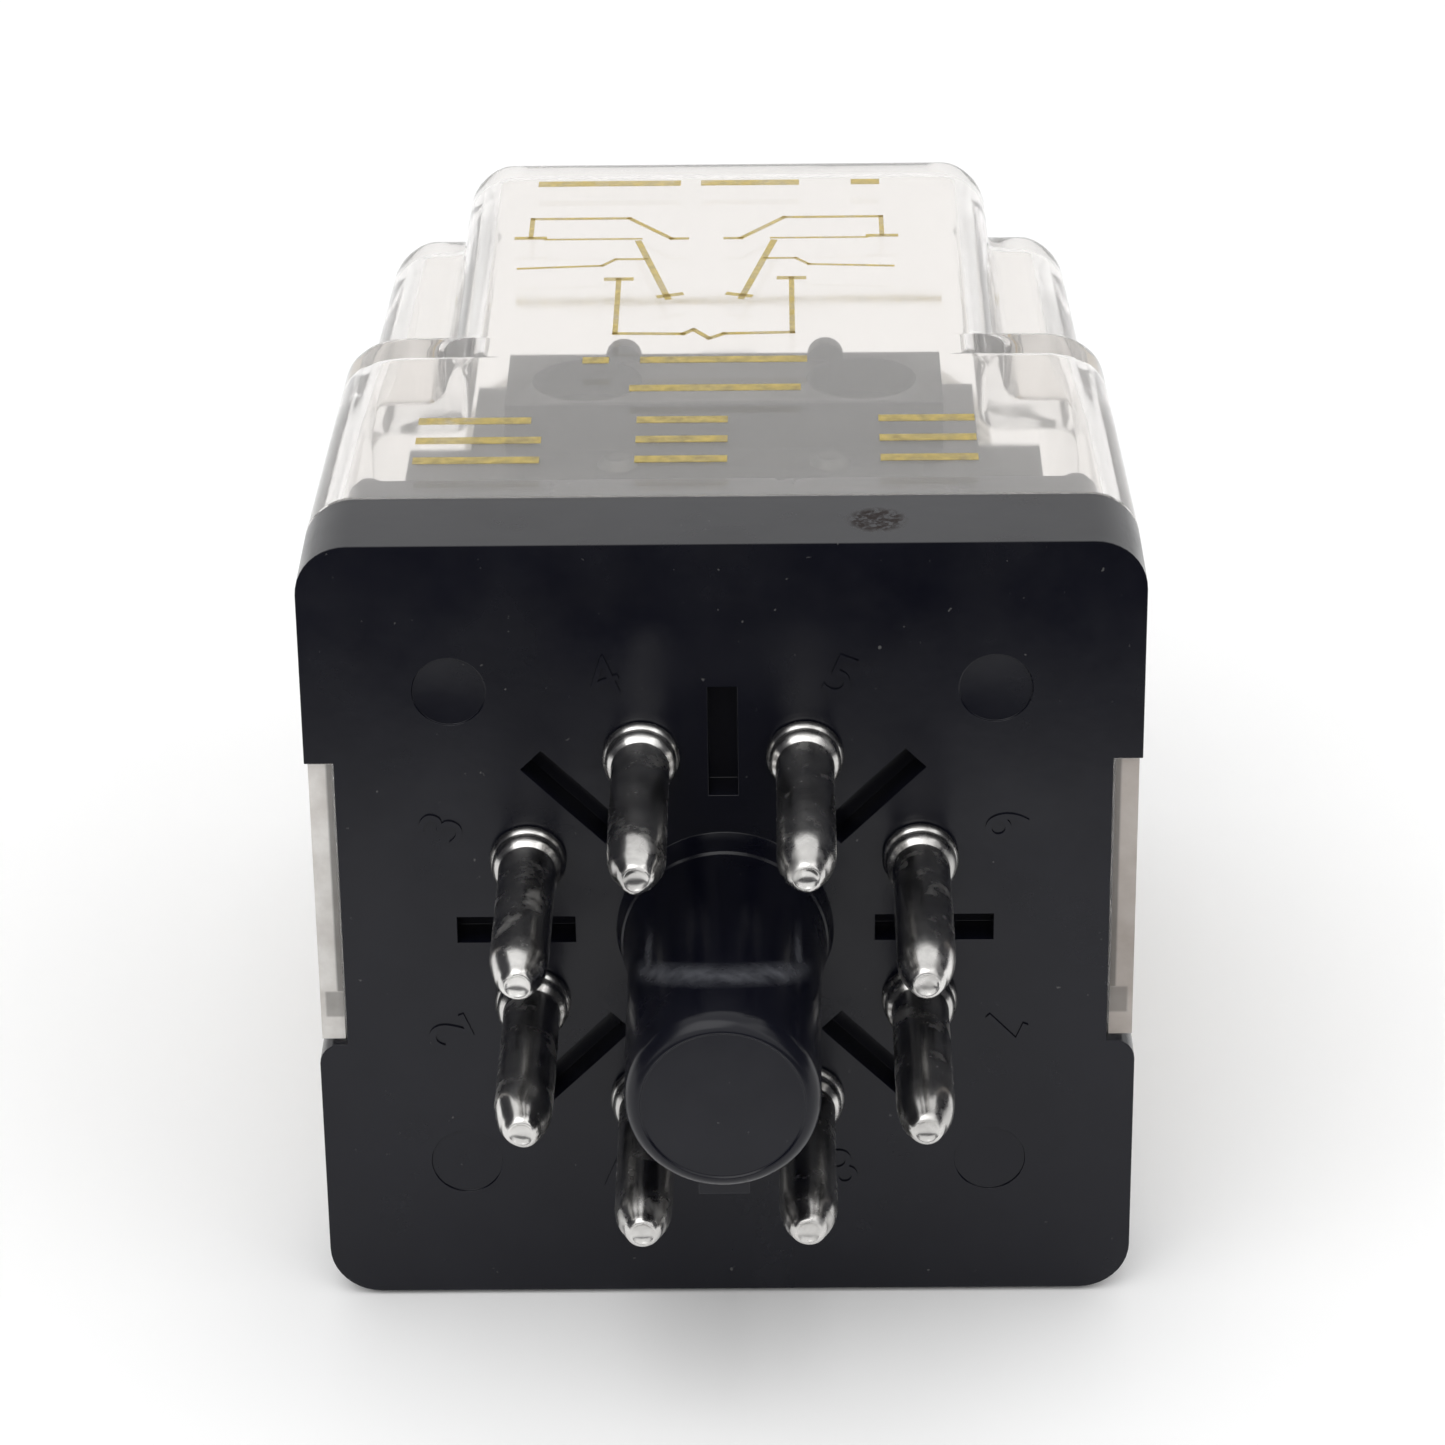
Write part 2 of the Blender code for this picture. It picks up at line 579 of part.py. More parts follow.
def build_base(kit):
    """The black base: face flange, plug inside the cover, key post, bosses and slots."""
    flange = slab(HALF_WIDTH, HALF_HEIGHT, FACE_CORNER_RADIUS, (0.0, FLANGE_THICKNESS))
    base = kit.add("base", flange, BLACK)
    kit.cut(base, [
        block(
            sorted((side * (HALF_WIDTH - COVER_WALL - CASE_GAP), side * (HALF_WIDTH + COVER_WALL))),
            (-FLANGE_THICKNESS, 2 * FLANGE_THICKNESS),
            (TAB_RAISE - TAB_HEIGHT / 2, TAB_RAISE + TAB_HEIGHT / 2),
        )
        for side in (-1, 1)
    ])
    plug_corner = FACE_CORNER_RADIUS - COVER_WALL
    plug = slab(PLUG_HALF_WIDTH, PLUG_HALF_HEIGHT, plug_corner, (FLANGE_THICKNESS / 2, PLUG_LENGTH))
    kit.fuse(base, [plug])
    peg_x = PLUG_HALF_WIDTH - CORNER_PEG_RADIUS - CASE_GAP
    peg_z = PLUG_HALF_HEIGHT - CORNER_PEG_RADIUS - CASE_GAP
    pegs = [
        turned("Y", (sx * peg_x, 0.0, sz * peg_z), [
            (FLOOR_THICKNESS, 0.0),
            (FLOOR_THICKNESS, CORNER_PEG_RADIUS),
            (CORNER_PEG_TOP_Y - CORNER_PEG_RADIUS, CORNER_PEG_RADIUS),
            (CORNER_PEG_TOP_Y - CORNER_PEG_RADIUS * 0.3, CORNER_PEG_RADIUS * 0.7),
            (CORNER_PEG_TOP_Y, 0.0),
        ], 12)
        for sx in (-1, 1)
        for sz in (-1, 1)
    ]
    inside = slab(
        PLUG_HALF_WIDTH - PLUG_WALL,
        PLUG_HALF_HEIGHT - PLUG_WALL,
        plug_corner,
        (FLOOR_THICKNESS, PLUG_LENGTH * 2),
    )
    kit.cut(base, [inside])
    kit.fuse(base, [join(pegs), join([snap_ridge(side) for side in (-1, 1)])])
    bosses = []
    holes = []
    for side in (-1, 1):
        for x, z, radius, top in (
            (HEEL_SCREW_X, HEEL_SCREW_Z, HEEL_SCREW_RADIUS, HEEL_Y - SEAT),
            (BLOCK_SCREW_X, BLOCK_SCREW_Z, BLOCK_SCREW_RADIUS, BLOCK_START_Y - SEAT),
        ):
            place = (side * x, 0.0, z)
            bosses.append(rod("Y", place, FLOOR_THICKNESS / 2, top, radius + BOSS_WALL))
            holes.append(rod("Y", place, SCREW_TIP_Y - HOLE_SPARE, top * 2, radius + FIT))
    kit.fuse(base, [join(bosses)])
    post_radius = POST_DIAMETER / 2
    collar_radius = POST_COLLAR_DIAMETER / 2
    centre = (0.0, 0.0, PIN_CENTRE_RAISE)
    post = turned("Y", centre, [
        (FLOOR_THICKNESS / 2, 0.0),
        (FLOOR_THICKNESS / 2, collar_radius),
        (-POST_COLLAR_HEIGHT, collar_radius),
        (-POST_COLLAR_HEIGHT * 2, post_radius * 1.02),
        (-POST_LENGTH + POST_CHAMFER, post_radius),
        (-POST_LENGTH, post_radius - POST_CHAMFER),
        (-POST_LENGTH, 0.0),
    ], 32)
    key = block(
        (-KEY_WIDTH / 2, KEY_WIDTH / 2),
        (-POST_LENGTH + POST_CHAMFER * 1.5, FLOOR_THICKNESS / 3),
        (PIN_CENTRE_RAISE - post_radius - KEY_PROJECTION, PIN_CENTRE_RAISE - post_radius / 2),
    )
    kit.fuse(base, [post, key])
    for number in range(1, PIN_COUNT + 1):
        holes.append(rod("Y", pin_place(number), -FLOOR_THICKNESS, FLOOR_THICKNESS * 1.2, PIN_RADIUS + FIT))
        holes.append(face_slot(360.0 / PIN_COUNT * number))
    for sx in (-1, 1):
        for sz in (-1, 1):
            place = (sx * EJECTOR_SPACING / 2, 0.0, sz * EJECTOR_SPACING / 2)
            holes.append(rod("Y", place, -FLANGE_THICKNESS, EJECTOR_DEPTH, EJECTOR_RADIUS))
    kit.cut(base, holes)


def face_slot(degrees):
    """A cutter for one radial slot in the face."""
    out = Vector((math.cos(math.radians(degrees)), 0.0, math.sin(math.radians(degrees))))
    side = Vector((-out.z, 0.0, out.x)) * SLOT_WIDTH / 2
    centre = Vector((0.0, 0.0, PIN_CENTRE_RAISE))
    near, far = centre + out * SLOT_INNER_RADIUS, centre + out * SLOT_OUTER_RADIUS
    outline = [near - side, far - side, far + side, near + side]
    return skin([[point + Vector((0.0, y, 0.0)) for point in outline] for y in (-SLOT_DEPTH, SLOT_DEPTH)])


def build_pins(kit):
    """Eight turned pins with a rolled collar outside and a staked bead inside."""
    collar = COLLAR_DIAMETER / 2
    profile = [
        (PIN_INNER_LENGTH, 0.0),
        (PIN_INNER_LENGTH, PIN_RADIUS),
        (FLOOR_THICKNESS + SEAT + BEAD_HEIGHT, PIN_RADIUS),
        (FLOOR_THICKNESS + SEAT + BEAD_HEIGHT / 2, collar),
        (FLOOR_THICKNESS + SEAT, collar * 0.95),
        (FLOOR_THICKNESS + SEAT, PIN_RADIUS),
        (-SEAT, PIN_RADIUS),
        (-SEAT, collar * 0.97),
        (-COLLAR_HEIGHT / 2, collar),
        (-COLLAR_HEIGHT, collar * 0.88),
        (-COLLAR_HEIGHT, PIN_RADIUS),
        (-PIN_LENGTH + PIN_RADIUS * 0.8, PIN_RADIUS),
        (-PIN_LENGTH + PIN_RADIUS * 0.25, PIN_RADIUS * 0.8),
        (-PIN_LENGTH, PIN_RADIUS * 0.5),
        (-PIN_LENGTH, 0.0),
    ]
    for number in range(1, PIN_COUNT + 1):
        kit.add(f"pin_{number}", turned("Y", pin_place(number), profile, 14), TIN)


def build_magnet(kit):
    """Frame, core, shading ring, bobbin, winding and tape."""
    half = FRAME_WIDTH / 2
    leg_bottom = LEG_TOP_Z - SHEET
    outline = [
        (HEEL_Y, HEEL_BOTTOM_Z),
        (HEEL_FRONT_Y, HEEL_BOTTOM_Z),
        (HEEL_FRONT_Y, leg_bottom),
        (LEG_END_Y, leg_bottom),
        (LEG_END_Y, LEG_TOP_Z),
        (HEEL_Y, LEG_TOP_Z),
    ]
    bent = skin([[Vector((x, y, z)) for y, z in outline] for x in (-half, half)])
    frame = kit.add("frame", bent, STEEL)
    ear_start = LEG_END_Y - SHEET
    ear_outline = [
        (ear_start, leg_bottom + SHEET / 4),
        (LEG_END_Y, leg_bottom + SHEET / 4),
        (HINGE_Y + EAR_RADIUS, HINGE_Z - EAR_RADIUS),
        (HINGE_Y + EAR_RADIUS, HINGE_Z + EAR_RADIUS),
        (HINGE_Y - EAR_RADIUS, HINGE_Z + EAR_RADIUS),
        (ear_start, LEG_TOP_Z),
    ]
    for side in (-1, 1):
        low, high = sorted((side * half, side * (half + EAR_THICKNESS)))
        ear = skin([[Vector((x, y, z)) for y, z in ear_outline] for x in (low, high)])
        tie = block(
            sorted((side * (half - SHEET), side * (half + EAR_THICKNESS / 2))),
            (ear_start + SHEET / 8, LEG_END_Y - SHEET / 8),
            (leg_bottom + SHEET / 3, LEG_TOP_Z - SHEET / 6),
        )
        kit.fuse(frame, [tie, ear])
    anchor = block(
        (-TAIL_WIDTH / 2, TAIL_WIDTH / 2),
        (ANCHOR_Y, ANCHOR_Y + ANCHOR_THICKNESS),
        (LEG_TOP_Z - SHEET / 2, ANCHOR_TOP_Z),
    )
    kit.fuse(frame, [anchor])
    centre = (0.0, 0.0, COIL_Z)
    holes = [
        rod("Y", centre, HEEL_Y - SHEET, HEEL_FRONT_Y + SHEET, SHANK_RADIUS + FIT, 24),
        rod("X", (0.0, HINGE_Y, HINGE_Z), half - SHEET, half + SHEET, HINGE_PIN_RADIUS + FIT, 12),
        rod("X", (0.0, HINGE_Y, HINGE_Z), -half - SHEET, -half + SHEET, HINGE_PIN_RADIUS + FIT, 12),
        rod("Y", (0.0, 0.0, SPRING_Z), ANCHOR_Y - SHEET, ANCHOR_Y + SHEET, HOOK_HOLE_RADIUS, 12),
    ]
    for side in (-1, 1):
        place = (side * HEEL_SCREW_X, 0.0, HEEL_SCREW_Z)
        holes.append(rod("Y", place, HEEL_Y - SHEET, HEEL_FRONT_Y + SHEET, HEEL_SCREW_RADIUS + FIT))
    kit.cut(frame, holes)

    core = kit.add("core", turned("Y", centre, [
        (HEEL_Y - SEAT - RIVET_HEIGHT, 0.0),
        (HEEL_Y - SEAT - RIVET_HEIGHT, CORE_RADIUS * 0.8),
        (HEEL_Y - SEAT, CORE_RADIUS),
        (HEEL_Y - SEAT, SHANK_RADIUS),
        (HEEL_FRONT_Y + SEAT, SHANK_RADIUS),
        (HEEL_FRONT_Y + SEAT, CORE_RADIUS),
        (POLE_FACE_Y - POLE_THICKNESS, CORE_RADIUS),
        (POLE_FACE_Y - POLE_THICKNESS, POLE_RADIUS),
        (POLE_FACE_Y, POLE_RADIUS),
        (POLE_FACE_Y, 0.0),
    ], 24), STEEL)
    ring_centre = (0.0, 0.0, COIL_Z + RING_RAISE)
    groove = POLE_FACE_Y - RING_DEPTH - 2 * SEAT
    kit.cut(core, [tube(
        "Y", ring_centre, groove, POLE_FACE_Y + SHEET, RING_INNER_RADIUS - FIT, RING_OUTER_RADIUS + FIT,
    )])
    kit.add("shading_ring", tube(
        "Y", ring_centre, groove + SEAT, groove + SEAT + RING_DEPTH, RING_INNER_RADIUS, RING_OUTER_RADIUS,
    ), COPPER)

    bore = CORE_RADIUS + 2 * FIT
    barrel = bore + BOBBIN_WALL
    kit.add("bobbin", turned("Y", centre, [
        (BOBBIN_START_Y, bore),
        (BOBBIN_START_Y, BOBBIN_FLANGE_RADIUS),
        (BOBBIN_START_Y + BOBBIN_FLANGE, BOBBIN_FLANGE_RADIUS),
        (BOBBIN_START_Y + BOBBIN_FLANGE, barrel),
        (BOBBIN_END_Y - BOBBIN_FLANGE, barrel),
        (BOBBIN_END_Y - BOBBIN_FLANGE, BOBBIN_FLANGE_RADIUS),
        (BOBBIN_END_Y, BOBBIN_FLANGE_RADIUS),
        (BOBBIN_END_Y, bore),
    ], 24, CLOSED_LOOP), NYLON)
    start = BOBBIN_START_Y + BOBBIN_FLANGE + SEAT
    end = BOBBIN_END_Y - BOBBIN_FLANGE - SEAT
    kit.add("winding", tube("Y", centre, start, end, barrel + FIT, WINDING_RADIUS), COPPER)
    wrap = WINDING_RADIUS + FIT
    kit.add("coil_tape", tube("Y", centre, start + SEAT, end - SEAT, wrap, wrap + TAPE_THICKNESS), TAPE)
    for side, label in ((-1, "left"), (1, "right")):
        lug_start = side * (BOBBIN_FLANGE_RADIUS + SEAT)
        kit.add(f"coil_lug_{label}", block(
            sorted((lug_start, lug_start + side * LUG_LENGTH)),
            (BOBBIN_START_Y + SEAT, BOBBIN_START_Y + SEAT + LUG_THICKNESS),
            (COIL_Z - LUG_WIDTH / 2, COIL_Z + LUG_WIDTH / 2),
        ), TIN)


def build_armature(kit):
    """The bell-crank armature and everything that swings with it."""
    half = ARMATURE_WIDTH / 2
    plate_back = PLATE_Y + ARMATURE_SHEET
    outline = [
        (PLATE_Y, ARMATURE_BOTTOM_Z),
        (plate_back, ARMATURE_BOTTOM_Z),
        (plate_back, ARM_TOP_Z),
        (ARM_END_Y, ARM_TOP_Z),
        (ARM_END_Y, ARM_BOTTOM_Z),
        (PLATE_Y, ARM_BOTTOM_Z),
    ]
    bent = skin([[Vector((x, y, z)) for y, z in outline] for x in (-half, half)])
    armature = kit.add("armature", bent, STEEL, moving=True)
    through = (HINGE_Z - SHEET, HINGE_Z + SHEET)
    trim = (ARM_END_Y - SHEET, PLATE_Y - SHEET / 2)
    kit.cut(armature, [
        block((-FORK_GAP / 2, FORK_GAP / 2), (ARM_END_Y - SHEET, PLATE_Y - SHEET / 4), through),
        block((FORK_SPAN / 2, FACE_WIDTH), trim, through),
        block((-FACE_WIDTH, -FORK_SPAN / 2), trim, through),
    ], moving=True)
    tail = block(
        (-TAIL_WIDTH / 2, TAIL_WIDTH / 2),
        (PLATE_Y + FIT, PLATE_Y + FIT + TAIL_THICKNESS),
        (HINGE_Z + HINGE_PIN_RADIUS * 1.5, TAIL_TOP_Z),
    )
    kit.fuse(armature, [tail], moving=True)
    holes = [
        rod("X", (0.0, HINGE_Y, HINGE_Z), -half - SHEET, half + SHEET, HINGE_PIN_RADIUS + FIT, 12),
        rod("Y", (0.0, 0.0, SPRING_Z), PLATE_Y - SHEET, plate_back + SHEET, HOOK_HOLE_RADIUS, 12),
    ]
    rivet_y = CARRIER_START_Y + CARRIER_LENGTH / 2
    for side in (-1, 1):
        place = (side * CARRIER_RIVET_X, rivet_y, 0.0)
        holes.append(rod("Z", place, ARM_BOTTOM_Z - SHEET, ARM_TOP_Z + SHEET, CARRIER_RIVET_RADIUS + FIT, 12))
    kit.cut(armature, holes, moving=True)

    slot_half = BLADE_WIDTH / 2 + 2 * FIT
    for side, label in ((-1, "left"), (1, "right")):
        x = side * POLE_X
        carrier = kit.add(f"carrier_{label}", block(
            sorted((side * FORK_GAP / 2, side * FORK_SPAN / 2)),
            (CARRIER_START_Y, CARRIER_START_Y + CARRIER_LENGTH),
            (ARM_TOP_Z + SEAT, CARRIER_TOP_Z),
        ), BLACK, moving=True)
        rivet_place = (side * CARRIER_RIVET_X, rivet_y, 0.0)
        kit.cut(carrier, [
            block(
                (x - slot_half, x + slot_half),
                (CARRIER_START_Y - SHEET, CARRIER_START_Y + CARRIER_LENGTH + SHEET),
                (BLADE_Z - FIT, BLADE_Z + BLADE_THICKNESS + FIT),
            ),
            rod("Z", rivet_place, ARM_TOP_Z - SHEET, CARRIER_TOP_Z + SHEET, CARRIER_RIVET_RADIUS + FIT, 12),
        ], moving=True)
        head = CARRIER_RIVET_HEAD
        kit.add(f"carrier_rivet_{label}", turned("Z", rivet_place, [
            (ARM_BOTTOM_Z - SEAT - head / 4, 0.0),
            (ARM_BOTTOM_Z - SEAT - head / 4, head * 0.8),
            (ARM_BOTTOM_Z - SEAT, head),
            (ARM_BOTTOM_Z - SEAT, CARRIER_RIVET_RADIUS),
            (CARRIER_TOP_Z + SEAT, CARRIER_RIVET_RADIUS),
            (CARRIER_TOP_Z + SEAT, head),
            (CARRIER_TOP_Z + SEAT + head / 2, head * 0.6),
            (CARRIER_TOP_Z + SEAT + head / 2, 0.0),
        ], 12), STEEL, moving=True)

        blade = kit.add(f"blade_{label}", block(
            (x - BLADE_WIDTH / 2, x + BLADE_WIDTH / 2),
            (BLADE_TIP_Y, BLADE_REAR_Y),
            (BLADE_Z, BLADE_Z + BLADE_THICKNESS),
        ), BRONZE, moving=True)
        contact_place = (x, CONTACT_Y, BLADE_MID_Z)
        kit.cut(blade, [
            rod("Z", contact_place, -SHEET, SHEET, CONTACT_SHANK_RADIUS + FIT, 12),
        ], moving=True)
        inner = BLADE_THICKNESS / 2 + SEAT
        kit.add(f"moving_contact_{label}", turned("Z", contact_place, [
            (-CONTACT_HALF, 0.0),
            (-CONTACT_HALF, CONTACT_RADIUS * 0.8),
            (-CONTACT_HALF + CONTACT_HEAD / 3, CONTACT_RADIUS),
            (-inner, CONTACT_RADIUS),
            (-inner, CONTACT_SHANK_RADIUS),
            (inner, CONTACT_SHANK_RADIUS),
            (inner, CONTACT_RADIUS),
            (CONTACT_HALF - CONTACT_HEAD / 3, CONTACT_RADIUS),
            (CONTACT_HALF, CONTACT_RADIUS * 0.8),
            (CONTACT_HALF, 0.0),
        ], 14), SILVER, moving=True)

    ear_out = FRAME_WIDTH / 2 + EAR_THICKNESS + SEAT
    kit.add("hinge_pin", turned("X", (0.0, HINGE_Y, HINGE_Z), [
        (-ear_out - HINGE_HEAD_RADIUS / 2, 0.0),
        (-ear_out - HINGE_HEAD_RADIUS / 2, HINGE_HEAD_RADIUS),
        (-ear_out, HINGE_HEAD_RADIUS),
        (-ear_out, HINGE_PIN_RADIUS),
        (ear_out, HINGE_PIN_RADIUS),
        (ear_out, HINGE_HEAD_RADIUS),
        (ear_out + HINGE_HEAD_RADIUS / 2, HINGE_HEAD_RADIUS),
        (ear_out + HINGE_HEAD_RADIUS / 2, 0.0),
    ], 12), STEEL)


def build_contacts(kit):
    """The stepped contact block with the fixed contacts of both poles."""
    wide = BLOCK_WIDTH / 2
    rear = BLOCK_REAR_WIDTH / 2
    housing = HOUSING_WIDTH / 2
    tier = TIER_WIDTH / 2
    shelf_z = BLOCK_TOP_Z - BLOCK_SHELF
    step = BLOCK_SHELF / 10
    contact_block = kit.add("contact_block", block(
        (-housing, housing), (BLOCK_START_Y, BLOCK_END_Y), (BLOCK_BOTTOM_Z, BLOCK_TOP_Z),
    ), BLACK)
    kit.fuse(contact_block, [
        block((-rear, rear), (BLOCK_START_Y + step, BLOCK_END_Y - step), (shelf_z, BLOCK_TOP_Z - step / 2)),
        block((-wide, wide), (BLOCK_START_Y + step, BLOCK_WIDE_END_Y), (shelf_z + step, BLOCK_TOP_Z - step)),
        block((-wide + step, wide - step), (BLOCK_START_Y, BLOCK_START_Y + BLOCK_FLANGE),
              (BLOCK_BOTTOM_Z + step, BLOCK_TOP_Z - 2 * step)),
        block((-tier, tier), (TIER_START_Y, TIER_END_Y), (BLOCK_TOP_Z - BLOCK_SHELF / 2, TIER_TOP_Z)),
    ])
    ears = [
        rod("Y", (side * TIER_EAR_X, 0.0, TIER_TOP_Z), TIER_END_Y - TIER_EAR_LENGTH,
            TIER_END_Y - step, TIER_EAR_RADIUS)
        for side in (-1, 1)
    ]
    kit.fuse(contact_block, [join(ears)])
    cutters = []
    for side, label in ((-1, "left"), (1, "right")):
        x = side * POLE_X
        strip_x = (x - STRIP_WIDTH / 2, x + STRIP_WIDTH / 2)
        shank = FIXED_SHANK_RADIUS + FIT
        place = (x, CONTACT_Y, 0.0)
        cutters += [
            block(
                (x - TUNNEL_WIDTH / 2, x + TUNNEL_WIDTH / 2),
                (BLOCK_START_Y - SHEET, BLOCK_END_Y + SHEET),
                (TUNNEL_FLOOR_Z, ROOF_Z),
            ),
            rod("Y", (side * BLOCK_SCREW_X, 0.0, BLOCK_SCREW_Z), BLOCK_START_Y - SHEET,
                BLOCK_START_Y + BLOCK_FLANGE + SHEET, BLOCK_SCREW_RADIUS + FIT),
            rod("Z", (side * TIER_RECESS_X, TIER_RECESS_Y, 0.0), TIER_TOP_Z - TIER_RECESS_DEPTH,
                TIER_TOP_Z + SHEET, TIER_RECESS_RADIUS, 24),
        ]
        kit.cut(contact_block, [
            rod("Z", place, ROOF_Z - SHEET / 4, BLOCK_TOP_Z + SHEET, shank, 12),
            rod("Z", place, BLOCK_BOTTOM_Z - SHEET, TUNNEL_FLOOR_Z + SHEET / 4, shank, 12),
        ])

        no_strip = kit.add(f"no_strip_{label}", block(
            strip_x, (NO_STRIP_START_Y, STRIP_END_Y), (NO_STRIP_Z, NO_STRIP_Z + STRIP_THICKNESS),
        ), BRONZE)
        kit.cut(no_strip, [rod("Z", place, NO_STRIP_Z - SHEET, NO_STRIP_Z + SHEET, shank, 12)])
        nc_strip = kit.add(f"nc_strip_{label}", block(
            strip_x, (NC_STRIP_START_Y, STRIP_END_Y), (NC_STRIP_Z, NC_STRIP_Z + STRIP_THICKNESS),
        ), BRONZE)
        kit.cut(nc_strip, [rod("Z", place, NC_STRIP_Z - SHEET, NC_STRIP_Z + SHEET, shank, 12)])

        head_top = BLOCK_TOP_Z + SEAT
        kit.add(f"no_contact_{label}", turned("Z", place, [
            (NO_FACE_Z, 0.0),
            (NO_FACE_Z, CONTACT_RADIUS * 0.85),
            (NO_FACE_Z + FIXED_HEAD / 3, CONTACT_RADIUS),
            (NO_FACE_Z + FIXED_HEAD, CONTACT_RADIUS),
            (NO_FACE_Z + FIXED_HEAD, FIXED_SHANK_RADIUS),
            (head_top, FIXED_SHANK_RADIUS),
            (head_top, FIXED_SHANK_RADIUS * 1.3),
            (head_top + FIXED_HEAD / 2, FIXED_SHANK_RADIUS * 0.8),
            (head_top + FIXED_HEAD / 2, 0.0),
        ], 14), SILVER)
        kit.add(f"nc_contact_{label}", turned("Z", place, [
            (BLOCK_BOTTOM_Z + SEAT, 0.0),
            (BLOCK_BOTTOM_Z + SEAT, FIXED_SHANK_RADIUS),
            (NC_FACE_Z - FIXED_HEAD, FIXED_SHANK_RADIUS),
            (NC_FACE_Z - FIXED_HEAD, CONTACT_RADIUS),
            (NC_FACE_Z - FIXED_HEAD / 3, CONTACT_RADIUS),
            (NC_FACE_Z, CONTACT_RADIUS * 0.85),
            (NC_FACE_Z, 0.0),
        ], 14), SILVER)
    kit.cut(contact_block, cutters)


def screw(x, z, radius, head_radius, seat_y):
    """A pan-head screw along y whose head sits on a face at seat_y."""
    return turned("Y", (x, 0.0, z), [
        (SCREW_TIP_Y, 0.0),
        (SCREW_TIP_Y, radius * 0.7),
        (SCREW_TIP_Y + radius, radius),
        (seat_y + SEAT, radius),
        (seat_y + SEAT, head_radius),
        (seat_y + SEAT + SCREW_HEAD_HEIGHT * 0.6, head_radius),
        (seat_y + SEAT + SCREW_HEAD_HEIGHT, head_radius * 0.7),
        (seat_y + SEAT + SCREW_HEAD_HEIGHT, 0.0),
    ], 14)


